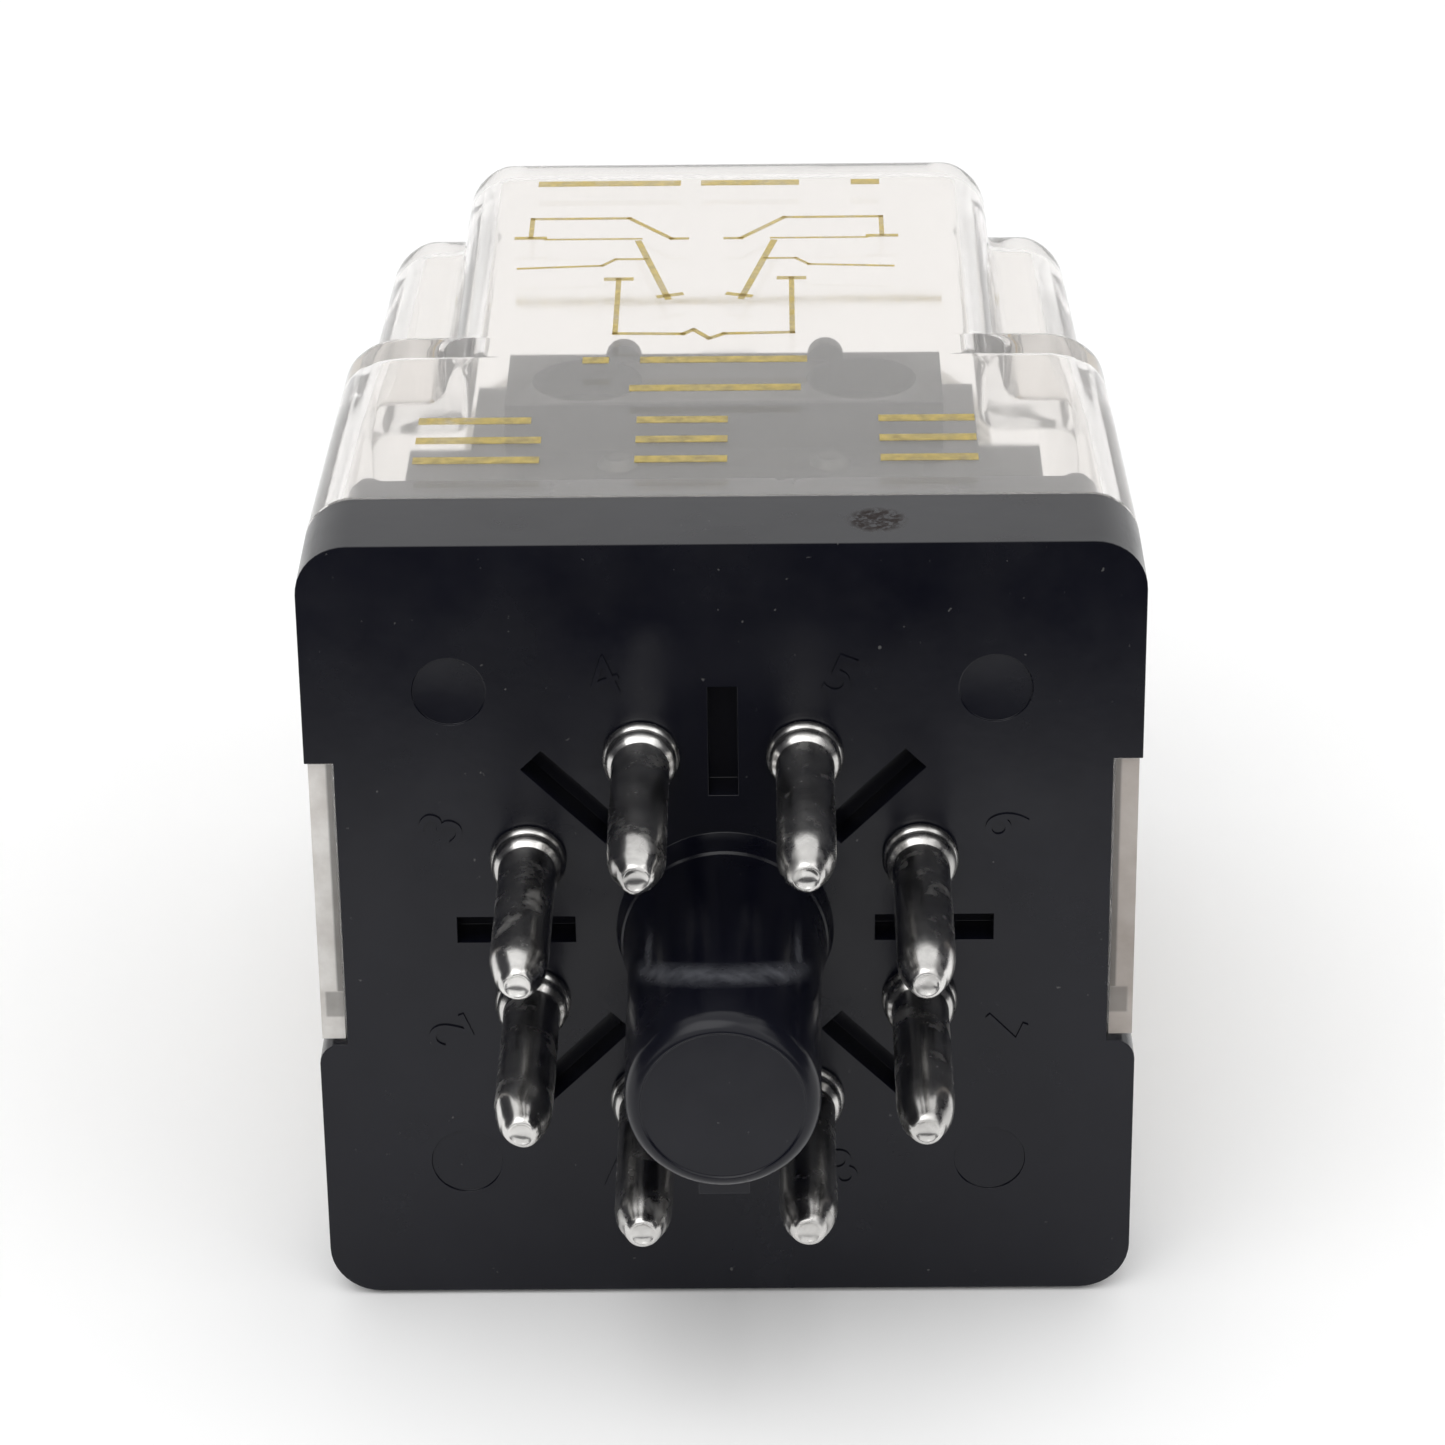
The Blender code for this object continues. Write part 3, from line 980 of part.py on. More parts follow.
def build_fixings(kit):
    """Screws, the return spring and all the wires."""
    spring_start = ANCHOR_Y + ANCHOR_THICKNESS + SOLDER_GAP
    spring_end = PLATE_Y - 2 * SOLDER_GAP
    path = [Vector((0.0, ANCHOR_Y - SOLDER_GAP, SPRING_Z)), Vector((0.0, spring_start, SPRING_Z))]
    steps = SPRING_TURNS * 10
    for i in range(steps + 1):
        share = i / steps
        ease = min(1.0, i / 5, (steps - i) / 5)
        turn = 2 * math.pi * SPRING_TURNS * share
        radius = SPRING_RADIUS * (0.15 + 0.85 * ease)
        path.append(Vector((
            radius * math.cos(turn),
            spring_start + SPRING_WIRE * 2 + (spring_end - spring_start - SPRING_WIRE * 4) * share,
            SPRING_Z + radius * math.sin(turn),
        )))
    path.append(Vector((0.0, spring_end, SPRING_Z)))
    path.append(Vector((0.0, PLATE_Y + ARMATURE_SHEET, SPRING_Z)))
    kit.add("return_spring", sweep(path, SPRING_WIRE, 6), STEEL)

    for side, label in ((-1, "left"), (1, "right")):
        kit.add(f"block_screw_{label}", screw(
            side * BLOCK_SCREW_X, BLOCK_SCREW_Z, BLOCK_SCREW_RADIUS, BLOCK_SCREW_HEAD,
            BLOCK_START_Y + BLOCK_FLANGE,
        ), STEEL)
        kit.add(f"heel_screw_{label}", screw(
            side * HEEL_SCREW_X, HEEL_SCREW_Z, HEEL_SCREW_RADIUS, HEEL_SCREW_HEAD, HEEL_FRONT_Y,
        ), STEEL)

        common = pin_place(1 if side < 0 else 8)
        coil = pin_place(2 if side < 0 else 7)
        normally_open = pin_place(3 if side < 0 else 6)
        above = PIN_INNER_LENGTH + SOLDER_GAP
        strip_mid = NO_STRIP_Z + STRIP_THICKNESS / 2

        def route(points):
            return [Vector((side * x, y, z)) for x, y, z in points]

        kit.add(f"no_lead_{label}", wire(route([
            (POLE_X, NO_STRIP_START_Y - SOLDER_GAP, strip_mid),
            (POLE_X + LEAD_SWING, NO_STRIP_START_Y - LEAD_DIP, strip_mid - LEAD_DIP),
            (LEAD_X, NO_STRIP_START_Y - LEAD_DIP, LEAD_HIGH_Z),
            (LEAD_X + 2 * SOLDER_GAP, NO_STRIP_START_Y - LEAD_DIP, LEAD_LOW_Z),
            (abs(normally_open.x) + SOLDER_GAP, above + 2 * SOLDER_GAP, normally_open.z + LEAD_DIP),
            (abs(normally_open.x), above, normally_open.z),
        ]), LEAD_WIRE), SLEEVE)
        lug_tip = BOBBIN_FLANGE_RADIUS + SEAT + LUG_LENGTH + SOLDER_GAP
        lug_y = BOBBIN_START_Y + LUG_THICKNESS / 2
        kit.add(f"coil_lead_{label}", wire(route([
            (lug_tip, lug_y, COIL_Z),
            (lug_tip + COIL_LEAD_SWING, lug_y - COIL_LEAD_SWING, COIL_Z + COIL_LEAD_SWING / 4),
            (lug_tip + COIL_LEAD_SWING, HEEL_Y, COIL_Z + COIL_LEAD_SWING / 2),
            (lug_tip, HEEL_Y - 2 * COIL_LEAD_SWING, COIL_Z + COIL_LEAD_SWING),
            (abs(coil.x) + COIL_LEAD_SWING, above + 2 * COIL_LEAD_SWING, coil.z),
            (abs(coil.x), above, coil.z),
        ]), COIL_WIRE), COPPER)
        beside = FRAME_WIDTH / 2 + EAR_THICKNESS + BRAID_CLEARANCE
        fall = [
            (
                beside,
                BRAID_FALL_Y - BRAID_PITCH * step,
                BRAID_HIGH_Z + (BRAID_LOW_Z - BRAID_HIGH_Z) * math.sin(math.pi / 6 * step),
            )
            for step in range(4)
        ]
        kit.add(f"braid_{label}", wire(route([
            (POLE_X + BLADE_WIDTH / 2 + SOLDER_GAP, BRAID_START_Y, BLADE_MID_Z),
            (BRAID_TURN_X, BRAID_START_Y, BLADE_MID_Z),
            (beside, BRAID_START_Y - BRAID_TURN, BLADE_MID_Z - BRAID_TURN),
            *fall,
            (BRAID_END_X, BRAID_END_Y, BRAID_LOW_Z - SOLDER_GAP),
            (BRAID_INNER_X, above + 2 * BRAID_RISE, BRAID_LOW_Z - SOLDER_GAP),
            (abs(common.x) + BRAID_RISE, above + BRAID_RISE, common.z),
            (abs(common.x), above, common.z),
        ]), BRAID_WIRE), COPPER)


def main():
    for item in list(bpy.data.objects):
        bpy.data.objects.remove(item, do_unlink=True)
    kit = Assembly()
    build_base(kit)
    build_cover(kit)
    build_pins(kit)
    build_magnet(kit)
    build_armature(kit)
    build_contacts(kit)
    build_fixings(kit)


main()
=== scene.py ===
"""Looks for the plug-in relay: clear cover, black octal base, tinned pins and the parts inside.

Shapes are worked out in millimetres in the case frame (x across, y from the pin face towards
the far end, z up from the middle of the face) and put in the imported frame, in metres, by world().
"""

import json
import math
import random

import bmesh
import bpy
from mathutils import Matrix, Vector

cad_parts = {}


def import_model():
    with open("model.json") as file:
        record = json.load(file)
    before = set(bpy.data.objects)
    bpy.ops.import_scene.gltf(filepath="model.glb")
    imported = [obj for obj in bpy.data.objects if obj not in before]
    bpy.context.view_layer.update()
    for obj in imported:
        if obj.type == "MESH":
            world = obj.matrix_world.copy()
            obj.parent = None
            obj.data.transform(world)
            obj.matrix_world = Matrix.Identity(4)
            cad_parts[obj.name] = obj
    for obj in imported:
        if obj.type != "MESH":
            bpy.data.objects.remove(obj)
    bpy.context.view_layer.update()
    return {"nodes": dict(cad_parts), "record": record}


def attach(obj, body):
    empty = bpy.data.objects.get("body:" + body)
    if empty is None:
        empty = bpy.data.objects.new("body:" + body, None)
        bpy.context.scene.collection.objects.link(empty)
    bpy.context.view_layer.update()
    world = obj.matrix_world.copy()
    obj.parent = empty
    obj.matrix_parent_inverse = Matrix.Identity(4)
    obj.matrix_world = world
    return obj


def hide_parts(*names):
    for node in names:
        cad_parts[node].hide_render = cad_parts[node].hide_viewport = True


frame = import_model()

# Sizes and places in millimetres; those of the base, cover and pins follow the solids
MIDDLE_Y = 15.55
HALF_W = 17.1
HALF_H = 17.55
CORNER = 2.15
FLANGE = 4.75
RIM_Y = 4.8
COVER_END = 45.5
WALL = 1.1
DRAFT = 1.0
SHOULDER = 22.3
PANEL_X = 12.3
SIDE_Z = 13.7
PLUG_X = 15.724
PLUG_Z = 16.35
PLUG_END = 8.0
FLOOR = 3.0
PIN_RAISE = 0.1
PIN_CIRCLE = 8.725
PIN_R = 1.18
TIP_START = -8.6
TIP_REACH = 2.34
POST_R = 3.9
SNAP_Z = (-4.5, 4.5)
NOTCH_Z = (-5.35, 7.85)
NOTCH_ROUND = 0.9
TAB_Z = (-5.2, 7.7)
TAB_TIP_Y = 0.3
SLOT_REACH = (6.2, 11.1)
SLOT_HALF = 0.6
SLOT_DEPTH = 1.6
EJECTOR_PLACE = 11.075
STEP_EDGE = 2.0
STEP_FILLET = 0.9
FAR_ROUND = 2.2
FAR_INNER_ROUND = 1.1
STRAIGHT_Y = 14.0
NUMBER_REACH = 12.45
PRINT_AXIS = -0.9
PRINT_LOW = 0.005
PRINT_HIGH = 0.03

# The share of the far end's rounding that the upper and lower walls take
END_CROWN = 0.3

# The cover's index of refraction, and the angle in degrees below which its edges shade smooth
COVER_IOR = 1.25
COVER_ANGLE = 38.0

BODY = "relay_body"


def world(x, y, z):
    """A case-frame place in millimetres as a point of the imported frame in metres."""
    return Vector((x, y - MIDDLE_Y, z + HALF_H)) * 0.001


def skin(rings):
    """A closed mesh over rings of points in the case frame; a ring of one point is a tip."""
    bm = bmesh.new()
    made = [[bm.verts.new(world(*point)) for point in ring] for ring in rings]
    for lower, upper in zip(made, made[1:]):
        count = max(len(lower), len(upper))
        for i in range(count):
            j = (i + 1) % count
            corners = []
            for ring, order in ((lower, (i, j)), (upper, (j, i))):
                corners += [ring[k] for k in order] if len(ring) > 1 else [ring[0]]
            bm.faces.new(corners)
    for ring in (made[0], made[-1]):
        if len(ring) > 2:
            bm.faces.new(ring)
    bmesh.ops.recalc_face_normals(bm, faces=bm.faces)
    return bm


def circle(x, z, y, radius, segments):
    """Points round an axis along y."""
    if radius <= 0.0:
        return [(x, y, z)]
    turns = [2 * math.pi * (i + 0.5) / segments for i in range(segments)]
    return [(x + radius * math.cos(t), y, z + radius * math.sin(t)) for t in turns]


def turned(x, z, profile, segments):
    """A turned body along y from (y, radius) steps."""
    return skin([circle(x, z, y, r, segments) for y, r in profile])


def rod(x, z, start, end, radius, segments=32):
    """A plain cylinder along y."""
    return skin([circle(x, z, y, radius, segments) for y in (start, end)])


def box(x, y, z):
    """A box from its (low, high) spans."""
    rings = [[(x[0], d, z[0]), (x[1], d, z[0]), (x[1], d, z[1]), (x[0], d, z[1])] for d in y]
    return skin(rings)


def rounded(half_x, half_z, radius, steps=10):
    """A rectangle's outline with round corners."""
    points = []
    for quarter, (sx, sz) in enumerate(((1, 1), (-1, 1), (-1, -1), (1, -1))):
        for i in range(steps + 1):
            turn = math.pi / 2 * (quarter + i / steps)
            points.append((
                sx * (half_x - radius) + radius * math.cos(turn),
                sz * (half_z - radius) + radius * math.sin(turn),
            ))
    return points


def slab(half_x, half_z, radius, y):
    """A plate with round corners over a span of y."""
    outline = rounded(half_x, half_z, radius)
    return skin([[(px, d, pz) for px, pz in outline] for d in y])


def add(name, bm, material, smooth_angle=35.0):
    """A new object from a mesh, shaded smooth below an angle."""
    mesh = bpy.data.meshes.new(name)
    bm.to_mesh(mesh)
    bm.free()
    item = bpy.data.objects.new(name, mesh)
    bpy.context.scene.collection.objects.link(item)
    if material:
        mesh.materials.append(material)
    shade(mesh, smooth_angle)
    return item


def shade(mesh, angle):
    mesh.polygons.foreach_set("use_smooth", [True] * len(mesh.polygons))
    mesh.set_sharp_from_angle(angle=math.radians(angle))
    mesh.update()


def carve(item, operation, tools):
    """Applies one exact Boolean per tool mesh and drops the tool."""
    for bm in tools:
        tool = add("tool", bm, None)
        step = item.modifiers.new("carve", "BOOLEAN")
        step.operation = operation
        step.solver = "EXACT"
        step.object = tool
        graph = bpy.context.evaluated_depsgraph_get()
        made = bpy.data.meshes.new_from_object(item.evaluated_get(graph))
        item.modifiers.clear()
        old = item.data
        item.data = made
        bpy.data.meshes.remove(old)
        bpy.data.objects.remove(tool, do_unlink=True)


def bevel(item, width, segments, angle):
    """Rounds the sharp edges by a width in millimetres."""
    step = item.modifiers.new("edges", "BEVEL")
    step.width = width * 0.001
    step.segments = segments
    step.limit_method = "ANGLE"
    step.angle_limit = math.radians(angle)
    step.harden_normals = True


# Materials


def new_material(name):
    material = bpy.data.materials.new(name)
    material.use_nodes = True
    tree = material.node_tree
    return material, tree, tree.nodes["Principled BSDF"]


def noise(tree, scale, detail=4.0, roughness=0.55):
    """A noise texture on object coordinates."""
    place = tree.nodes.new("ShaderNodeTexCoord")
    texture = tree.nodes.new("ShaderNodeTexNoise")
    texture.inputs["Scale"].default_value = scale
    texture.inputs["Detail"].default_value = detail
    texture.inputs["Roughness"].default_value = roughness
    tree.links.new(place.outputs["Object"], texture.inputs["Vector"])
    return texture.outputs["Fac"]


def spread(tree, source, low, high, start=0.3, end=0.7):
    """A source value mapped to a range."""
    step = tree.nodes.new("ShaderNodeMapRange")
    step.inputs["From Min"].default_value = start
    step.inputs["From Max"].default_value = end
    step.inputs["To Min"].default_value = low
    step.inputs["To Max"].default_value = high
    tree.links.new(source, step.inputs["Value"])
    return step.outputs["Result"]


def ramp(tree, source, stops):
    """A colour from a value, by (place, colour) stops."""
    step = tree.nodes.new("ShaderNodeValToRGB")
    first, last = step.color_ramp.elements
    first.position, first.color = stops[0][0], (*stops[0][1], 1.0)
    last.position, last.color = stops[-1][0], (*stops[-1][1], 1.0)
    for place, colour in stops[1:-1]:
        step.color_ramp.elements.new(place).color = (*colour, 1.0)
    tree.links.new(source, step.inputs["Fac"])
    return step.outputs["Color"]


def bump(tree, shader, source, strength, distance):
    step = tree.nodes.new("ShaderNodeBump")
    step.inputs["Strength"].default_value = strength
    step.inputs["Distance"].default_value = distance
    tree.links.new(source, step.inputs["Height"])
    tree.links.new(step.outputs["Normal"], shader.inputs["Normal"])


def moulding(name, dark, pale, rough_low, rough_high, specular):
    """Moulded plastic with flow marks and a fine grain."""
    material, tree, shader = new_material(name)
    flow = noise(tree, 130.0, 6.0, 0.65)
    tree.links.new(ramp(tree, flow, ((0.35, dark), (0.7, pale))), shader.inputs["Base Color"])
    rough = spread(tree, noise(tree, 260.0, 5.0), rough_low, rough_high)
    tree.links.new(rough, shader.inputs["Roughness"])
    shader.inputs["Specular IOR Level"].default_value = specular
    bump(tree, shader, noise(tree, 900.0, 4.0), 0.12, 0.00004)
    return material


def metal(name, dark, pale, rough_low, rough_high, scale, depth=0.1):
    """Plated or bare metal with faint stains and fine marks."""
    material, tree, shader = new_material(name)
    shader.inputs["Metallic"].default_value = 1.0
    stain = noise(tree, scale, 6.0, 0.6)
    tree.links.new(ramp(tree, stain, ((0.3, dark), (0.65, pale))), shader.inputs["Base Color"])
    rough = spread(tree, noise(tree, scale * 2.2, 5.0), rough_low, rough_high)
    tree.links.new(rough, shader.inputs["Roughness"])
    bump(tree, shader, noise(tree, scale * 4.0, 3.0), depth, 0.00003)
    return material


def sum_up(tree, operation, first, second):
    """One maths step on two sockets or numbers."""
    step = tree.nodes.new("ShaderNodeMath")
    step.operation = operation
    for place, value in zip(step.inputs, (first, second)):
        if isinstance(value, (int, float)):
            place.default_value = value
        else:
            tree.links.new(value, place)
    return step.outputs[0]


def product(tree, first, *others):
    """Several sockets or numbers multiplied in turn."""
    for other in others:
        first = sum_up(tree, "MULTIPLY", first, other)
    return first


def places(tree):
    """A surface point's x, y and z in metres, as three sockets."""
    place = tree.nodes.new("ShaderNodeTexCoord")
    split = tree.nodes.new("ShaderNodeSeparateXYZ")
    tree.links.new(place.outputs["Object"], split.inputs[0])
    return split.outputs


def blend_colour(tree, share, first, second):
    """A colour mixed from two sockets or colours by a share."""
    step = tree.nodes.new("ShaderNodeMix")
    step.data_type = "RGBA"
    tree.links.new(share, step.inputs["Factor"])
    for place, value in zip((step.inputs[6], step.inputs[7]), (first, second)):
        if isinstance(value, tuple):
            place.default_value = (*value, 1.0)
        else:
            tree.links.new(value, place)
    return step.outputs[2]


def base_plastic():
    """Black phenolic: flow marks, dust, a lighter band near the post's end that is partly a scuff and
    partly a painted highlight, with lighter arms that are partly scuffs and partly painted reflections, and
    a smudge on the top edge.

    The ranges of place are in metres.
    """
    material, tree, shader = new_material("black_base_look")
    x, y, z = places(tree)

    def away(value, middle):
        return sum_up(tree, "SUBTRACT", value, middle)

    def span(first, second):
        total = sum_up(tree, "ADD", product(tree, first, first), product(tree, second, second))
        return sum_up(tree, "SQRT", total, 0.0)

    centre = world(0.0, 0.0, PIN_RAISE)
    band = world(0.0, -10.95, 0.0)
    post_top = centre.z + POST_R * 0.001
    on_post = spread(tree, span(x, away(z, centre.z)), 1.0, 0.0, 0.0042, 0.0044)
    below_top = product(tree, sum_up(tree, "SUBTRACT", post_top, z), 2.0)
    behind_band = sum_up(tree, "SUBTRACT", away(y, band.y), below_top)
    # The band near the post's end is partly a scuff and partly a painted highlight: it is kept to the
    # post's upper side and bent back towards the face at the sides so that it reads straight from the
    # camera.
    scuff_and_highlight = product(
        tree,
        spread(tree, sum_up(tree, "ABSOLUTE", behind_band, 0.0), 1.0, 0.0, 0.0001, 0.0011),
        on_post,
        spread(tree, z, 0.0, 1.0, centre.z + 0.0015, centre.z + 0.0028),
    )
    # The arms at the band's ends are partly scuffs and partly painted reflections of the nearby pins.
    arm_x = 0.003
    from_arm = sum_up(tree, "ABSOLUTE", away(sum_up(tree, "ABSOLUTE", x, 0.0), arm_x), 0.0)
    arm_scuffs_and_reflections = product(
        tree,
        spread(tree, from_arm, 0.7, 0.0, 0.00002, 0.00022),
        spread(tree, behind_band, 1.0, 0.0, 0.0018, 0.0042),
        spread(tree, behind_band, 0.0, 1.0, 0.0, 0.0004),
        spread(tree, z, 0.0, 1.0, centre.z + 0.0015, centre.z + 0.002),
        on_post,
    )
    # Noise breaks up the scuff and painted highlight.
    rubbed = spread(tree, noise(tree, 900.0, 6.0, 0.7), 0.25, 1.0, 0.35, 0.65)
    scuff_and_highlight = product(tree, sum_up(tree, "MAXIMUM", scuff_and_highlight, arm_scuffs_and_reflections), rubbed)

    smudge = world(6.3, 2.25, 0.0)
    marked = product(
        tree,
        spread(tree, span(away(x, smudge.x), away(y, smudge.y)), 1.0, 0.0, 0.0009, 0.0013),
        spread(tree, z, 0.0, 1.0, 0.0349, 0.0350),
        spread(tree, noise(tree, 3600.0, 4.0, 0.7), 0.0, 1.0, 0.4, 0.55),
    )
    dust = spread(tree, noise(tree, 2600.0, 2.0, 0.5), 0.0, 1.0, 0.76, 0.8)

    flow = noise(tree, 110.0, 6.0, 0.65)
    colour = ramp(tree, flow, ((0.35, (0.002, 0.0022, 0.0055)), (0.7, (0.005, 0.0053, 0.0095))))
    colour = blend_colour(tree, dust, colour, (0.06, 0.06, 0.06))
    # Lighter and bluish where the scuff and painted highlight lie.
    colour = blend_colour(tree, scuff_and_highlight, colour, (0.085, 0.088, 0.10))
    colour = blend_colour(tree, marked, colour, (0.012, 0.006, 0.005))
    tree.links.new(colour, shader.inputs["Base Color"])
    rough = spread(tree, noise(tree, 240.0, 6.0, 0.6), 0.16, 0.3)
    rough = sum_up(tree, "ADD", rough, product(tree, marked, 0.5))
    rough = sum_up(tree, "ADD", rough, product(tree, scuff_and_highlight, 0.15))
    tree.links.new(rough, shader.inputs["Roughness"])
    shader.inputs["Specular IOR Level"].default_value = 0.3
    bump(tree, shader, noise(tree, 1100.0, 5.0), 0.12, 0.00004)
    return material


def tinned_metal():
    """Tinned brass: bright, stained in places, with dull flaked patches."""
    material, tree, shader = new_material("tinned_pin_look")
    shader.inputs["Metallic"].default_value = 1.0
    stain = noise(tree, 420.0, 6.0, 0.6)
    colour = ramp(tree, stain, ((0.3, (0.42, 0.41, 0.40)), (0.65, (0.76, 0.75, 0.73))))
    dull = spread(tree, noise(tree, 560.0, 5.0, 0.6), 0.0, 1.0, 0.57, 0.66)
    colour = blend_colour(tree, dull, colour, (0.62, 0.61, 0.59))
    tree.links.new(colour, shader.inputs["Base Color"])
    rough = spread(tree, noise(tree, 924.0, 5.0), 0.19, 0.28)
    rough = sum_up(tree, "ADD", rough, product(tree, dull, 0.2))
    tree.links.new(rough, shader.inputs["Roughness"])
    bump(tree, shader, noise(tree, 1680.0, 3.0), 0.25, 0.00003)
    return material


def clear_plastic():
    """Clear polycarbonate with a slight warm tint and faint waves."""
    material, tree, shader = new_material("clear_cover_look")
    shader.inputs["Base Color"].default_value = (0.972, 0.953, 0.935, 1.0)
    shader.inputs["Transmission Weight"].default_value = 0.9
    shader.inputs["IOR"].default_value = COVER_IOR
    tree.links.new(spread(tree, noise(tree, 400.0, 5.0), 0.03, 0.09), shader.inputs["Roughness"])
    bump(tree, shader, noise(tree, 170.0, 2.0), 0.05, 0.0002)
    return material


def scuffed_plastic():
    """The latch tabs' rubbed ends: pale, with a darker inner strip and a catch near the lower end.

    The ranges of place are in metres.
    """
    material, tree, shader = new_material("latch_tip_look")
    x, _, height = places(tree)
    across = sum_up(tree, "ABSOLUTE", x, 0.0)
    low, high = world(0.0, 0.0, -4.2).z, world(0.0, 0.0, -3.0).z
    blur = 0.0001
    strip = product(
        tree,
        spread(tree, across, 0.75, 0.0, 0.0162, 0.0163),
        spread(tree, height, 0.0, 1.0, high, high + blur),
    )
    catch = product(
        tree,
        spread(tree, height, 0.0, 1.0, low, low + blur),
        spread(tree, height, 0.55, 0.0, high, high + blur),
        spread(tree, across, 1.0, 0.0, 0.0167, 0.0168),
    )
    grime = noise(tree, 700.0, 5.0, 0.6)
    colour = ramp(tree, grime, ((0.3, (0.58, 0.55, 0.52)), (0.65, (0.77, 0.75, 0.72))))
    on_right = spread(tree, x, 0.0, 0.6, -0.001, 0.001)
    colour = blend_colour(tree, on_right, colour, (0.22, 0.17, 0.14))
    dark = sum_up(tree, "MAXIMUM", strip, catch)
    colour = blend_colour(tree, dark, colour, (0.10, 0.095, 0.09))
    tree.links.new(colour, shader.inputs["Base Color"])
    tree.links.new(spread(tree, grime, 0.35, 0.6), shader.inputs["Roughness"])
    shader.inputs["Transmission Weight"].default_value = 0.3
    shader.inputs["IOR"].default_value = COVER_IOR
    bump(tree, shader, noise(tree, 1500.0, 4.0), 0.15, 0.00005)
    return material


def gold_ink():
    """Hot-stamped gold print, thinner in places."""
    material, tree, shader = new_material("gold_ink_look")
    wear = noise(tree, 1500.0, 4.0)
    colour = ramp(tree, wear, ((0.3, (0.55, 0.41, 0.08)), (0.6, (0.70, 0.55, 0.14))))
    tree.links.new(colour, shader.inputs["Base Color"])
    tree.links.new(spread(tree, wear, 0.35, 0.6), shader.inputs["Roughness"])
    tree.links.new(spread(tree, wear, 0.5, 0.85), shader.inputs["Alpha"])
    shader.inputs["Transmission Weight"].default_value = 0.5
    return material


def wound(name, dark, pale, rings, roughness, metallic):
    """Wire or braid: fine ribs across the length."""
    material, tree, shader = new_material(name)
    place = tree.nodes.new("ShaderNodeTexCoord")
    wave = tree.nodes.new("ShaderNodeTexWave")
    wave.bands_direction = "Y"
    wave.inputs["Scale"].default_value = rings
    wave.inputs["Distortion"].default_value = 1.2
    tree.links.new(place.outputs["Object"], wave.inputs["Vector"])
    tree.links.new(ramp(tree, wave.outputs["Fac"], ((0.1, dark), (0.8, pale))), shader.inputs["Base Color"])
    shader.inputs["Metallic"].default_value = metallic
    shader.inputs["Roughness"].default_value = roughness
    bump(tree, shader, wave.outputs["Fac"], 0.5, 0.00012)
    return material


LOOKS = {
    "black_moulding": base_plastic(),
    "clear_cover": clear_plastic(),
    "tinned_brass": tinned_metal(),
    "plated_steel": metal(
        "plated_steel_look", (0.42, 0.42, 0.43), (0.60, 0.60, 0.60), 0.25, 0.42, 300.0),
    "copper": wound(
        "copper_wire_look", (0.42, 0.15, 0.06), (0.78, 0.36, 0.18), 900.0, 0.35, 1.0),
    "contact_silver": metal(
        "contact_silver_look", (0.70, 0.69, 0.66), (0.88, 0.87, 0.85), 0.15, 0.3, 700.0),
    "spring_bronze": metal(
        "spring_bronze_look", (0.50, 0.30, 0.11), (0.72, 0.50, 0.22), 0.2, 0.35, 350.0),
    "bobbin_nylon": moulding(
        "bobbin_look", (0.62, 0.58, 0.47), (0.74, 0.70, 0.60), 0.4, 0.55, 0.4),
    "coil_tape": moulding(
        "coil_tape_look", (0.42, 0.27, 0.045), (0.58, 0.40, 0.09), 0.3, 0.45, 0.5),
    "wire_sleeve": moulding(
        "wire_sleeve_look", (0.30, 0.020, 0.016), (0.42, 0.035, 0.028), 0.35, 0.5, 0.4),
}
BRAID_LOOK = wound(
    "tinned_braid_look", (0.34, 0.33, 0.31), (0.66, 0.64, 0.60), 1100.0, 0.4, 1.0)
BLOCK_LOOK = moulding(
    "contact_block_look", (0.010, 0.010, 0.011), (0.022, 0.021, 0.021), 0.35, 0.5, 0.4)
RIVET_LOOK = metal(
    "tarnished_rivet_look", (0.05, 0.05, 0.048), (0.12, 0.118, 0.112), 0.45, 0.65, 700.0, 0.3)
SPECIAL_LOOKS = {
    "contact_block": BLOCK_LOOK,
    "braid_left": BRAID_LOOK,
    "braid_right": BRAID_LOOK,
    "no_contact_left": RIVET_LOOK,
    "no_contact_right": RIVET_LOOK,
}
TIP_LOOK = scuffed_plastic()
INK = gold_ink()


def softening():
    """A node group that drops the custom normals and shades shallow edges smooth."""
    group = bpy.data.node_groups.new("soft_shading", "GeometryNodeTree")
    group.interface.new_socket("Geometry", in_out="INPUT", socket_type="NodeSocketGeometry")
    group.interface.new_socket("Geometry", in_out="OUTPUT", socket_type="NodeSocketGeometry")
    nodes, links = group.nodes, group.links
    start = nodes.new("NodeGroupInput")
    end = nodes.new("NodeGroupOutput")
    drop = nodes.new("GeometryNodeRemoveAttribute")
    drop.inputs["Name"].default_value = "custom_normal"
    faces = nodes.new("GeometryNodeSetShadeSmooth")
    faces.domain = "FACE"
    edges = nodes.new("GeometryNodeSetShadeSmooth")
    edges.domain = "EDGE"
    edges.inputs["Shade Smooth"].default_value = False
    angle = nodes.new("GeometryNodeInputMeshEdgeAngle")
    sharp = nodes.new("FunctionNodeCompare")
    sharp.operation = "GREATER_THAN"
    sharp.inputs["B"].default_value = math.radians(33.0)
    links.new(start.outputs[0], drop.inputs["Geometry"])
    links.new(drop.outputs["Geometry"], faces.inputs["Geometry"])
    links.new(faces.outputs["Geometry"], edges.inputs["Geometry"])
    links.new(angle.outputs["Unsigned Angle"], sharp.inputs["A"])
    links.new(sharp.outputs["Result"], edges.inputs["Selection"])
    links.new(edges.outputs["Geometry"], end.inputs[0])
    return group


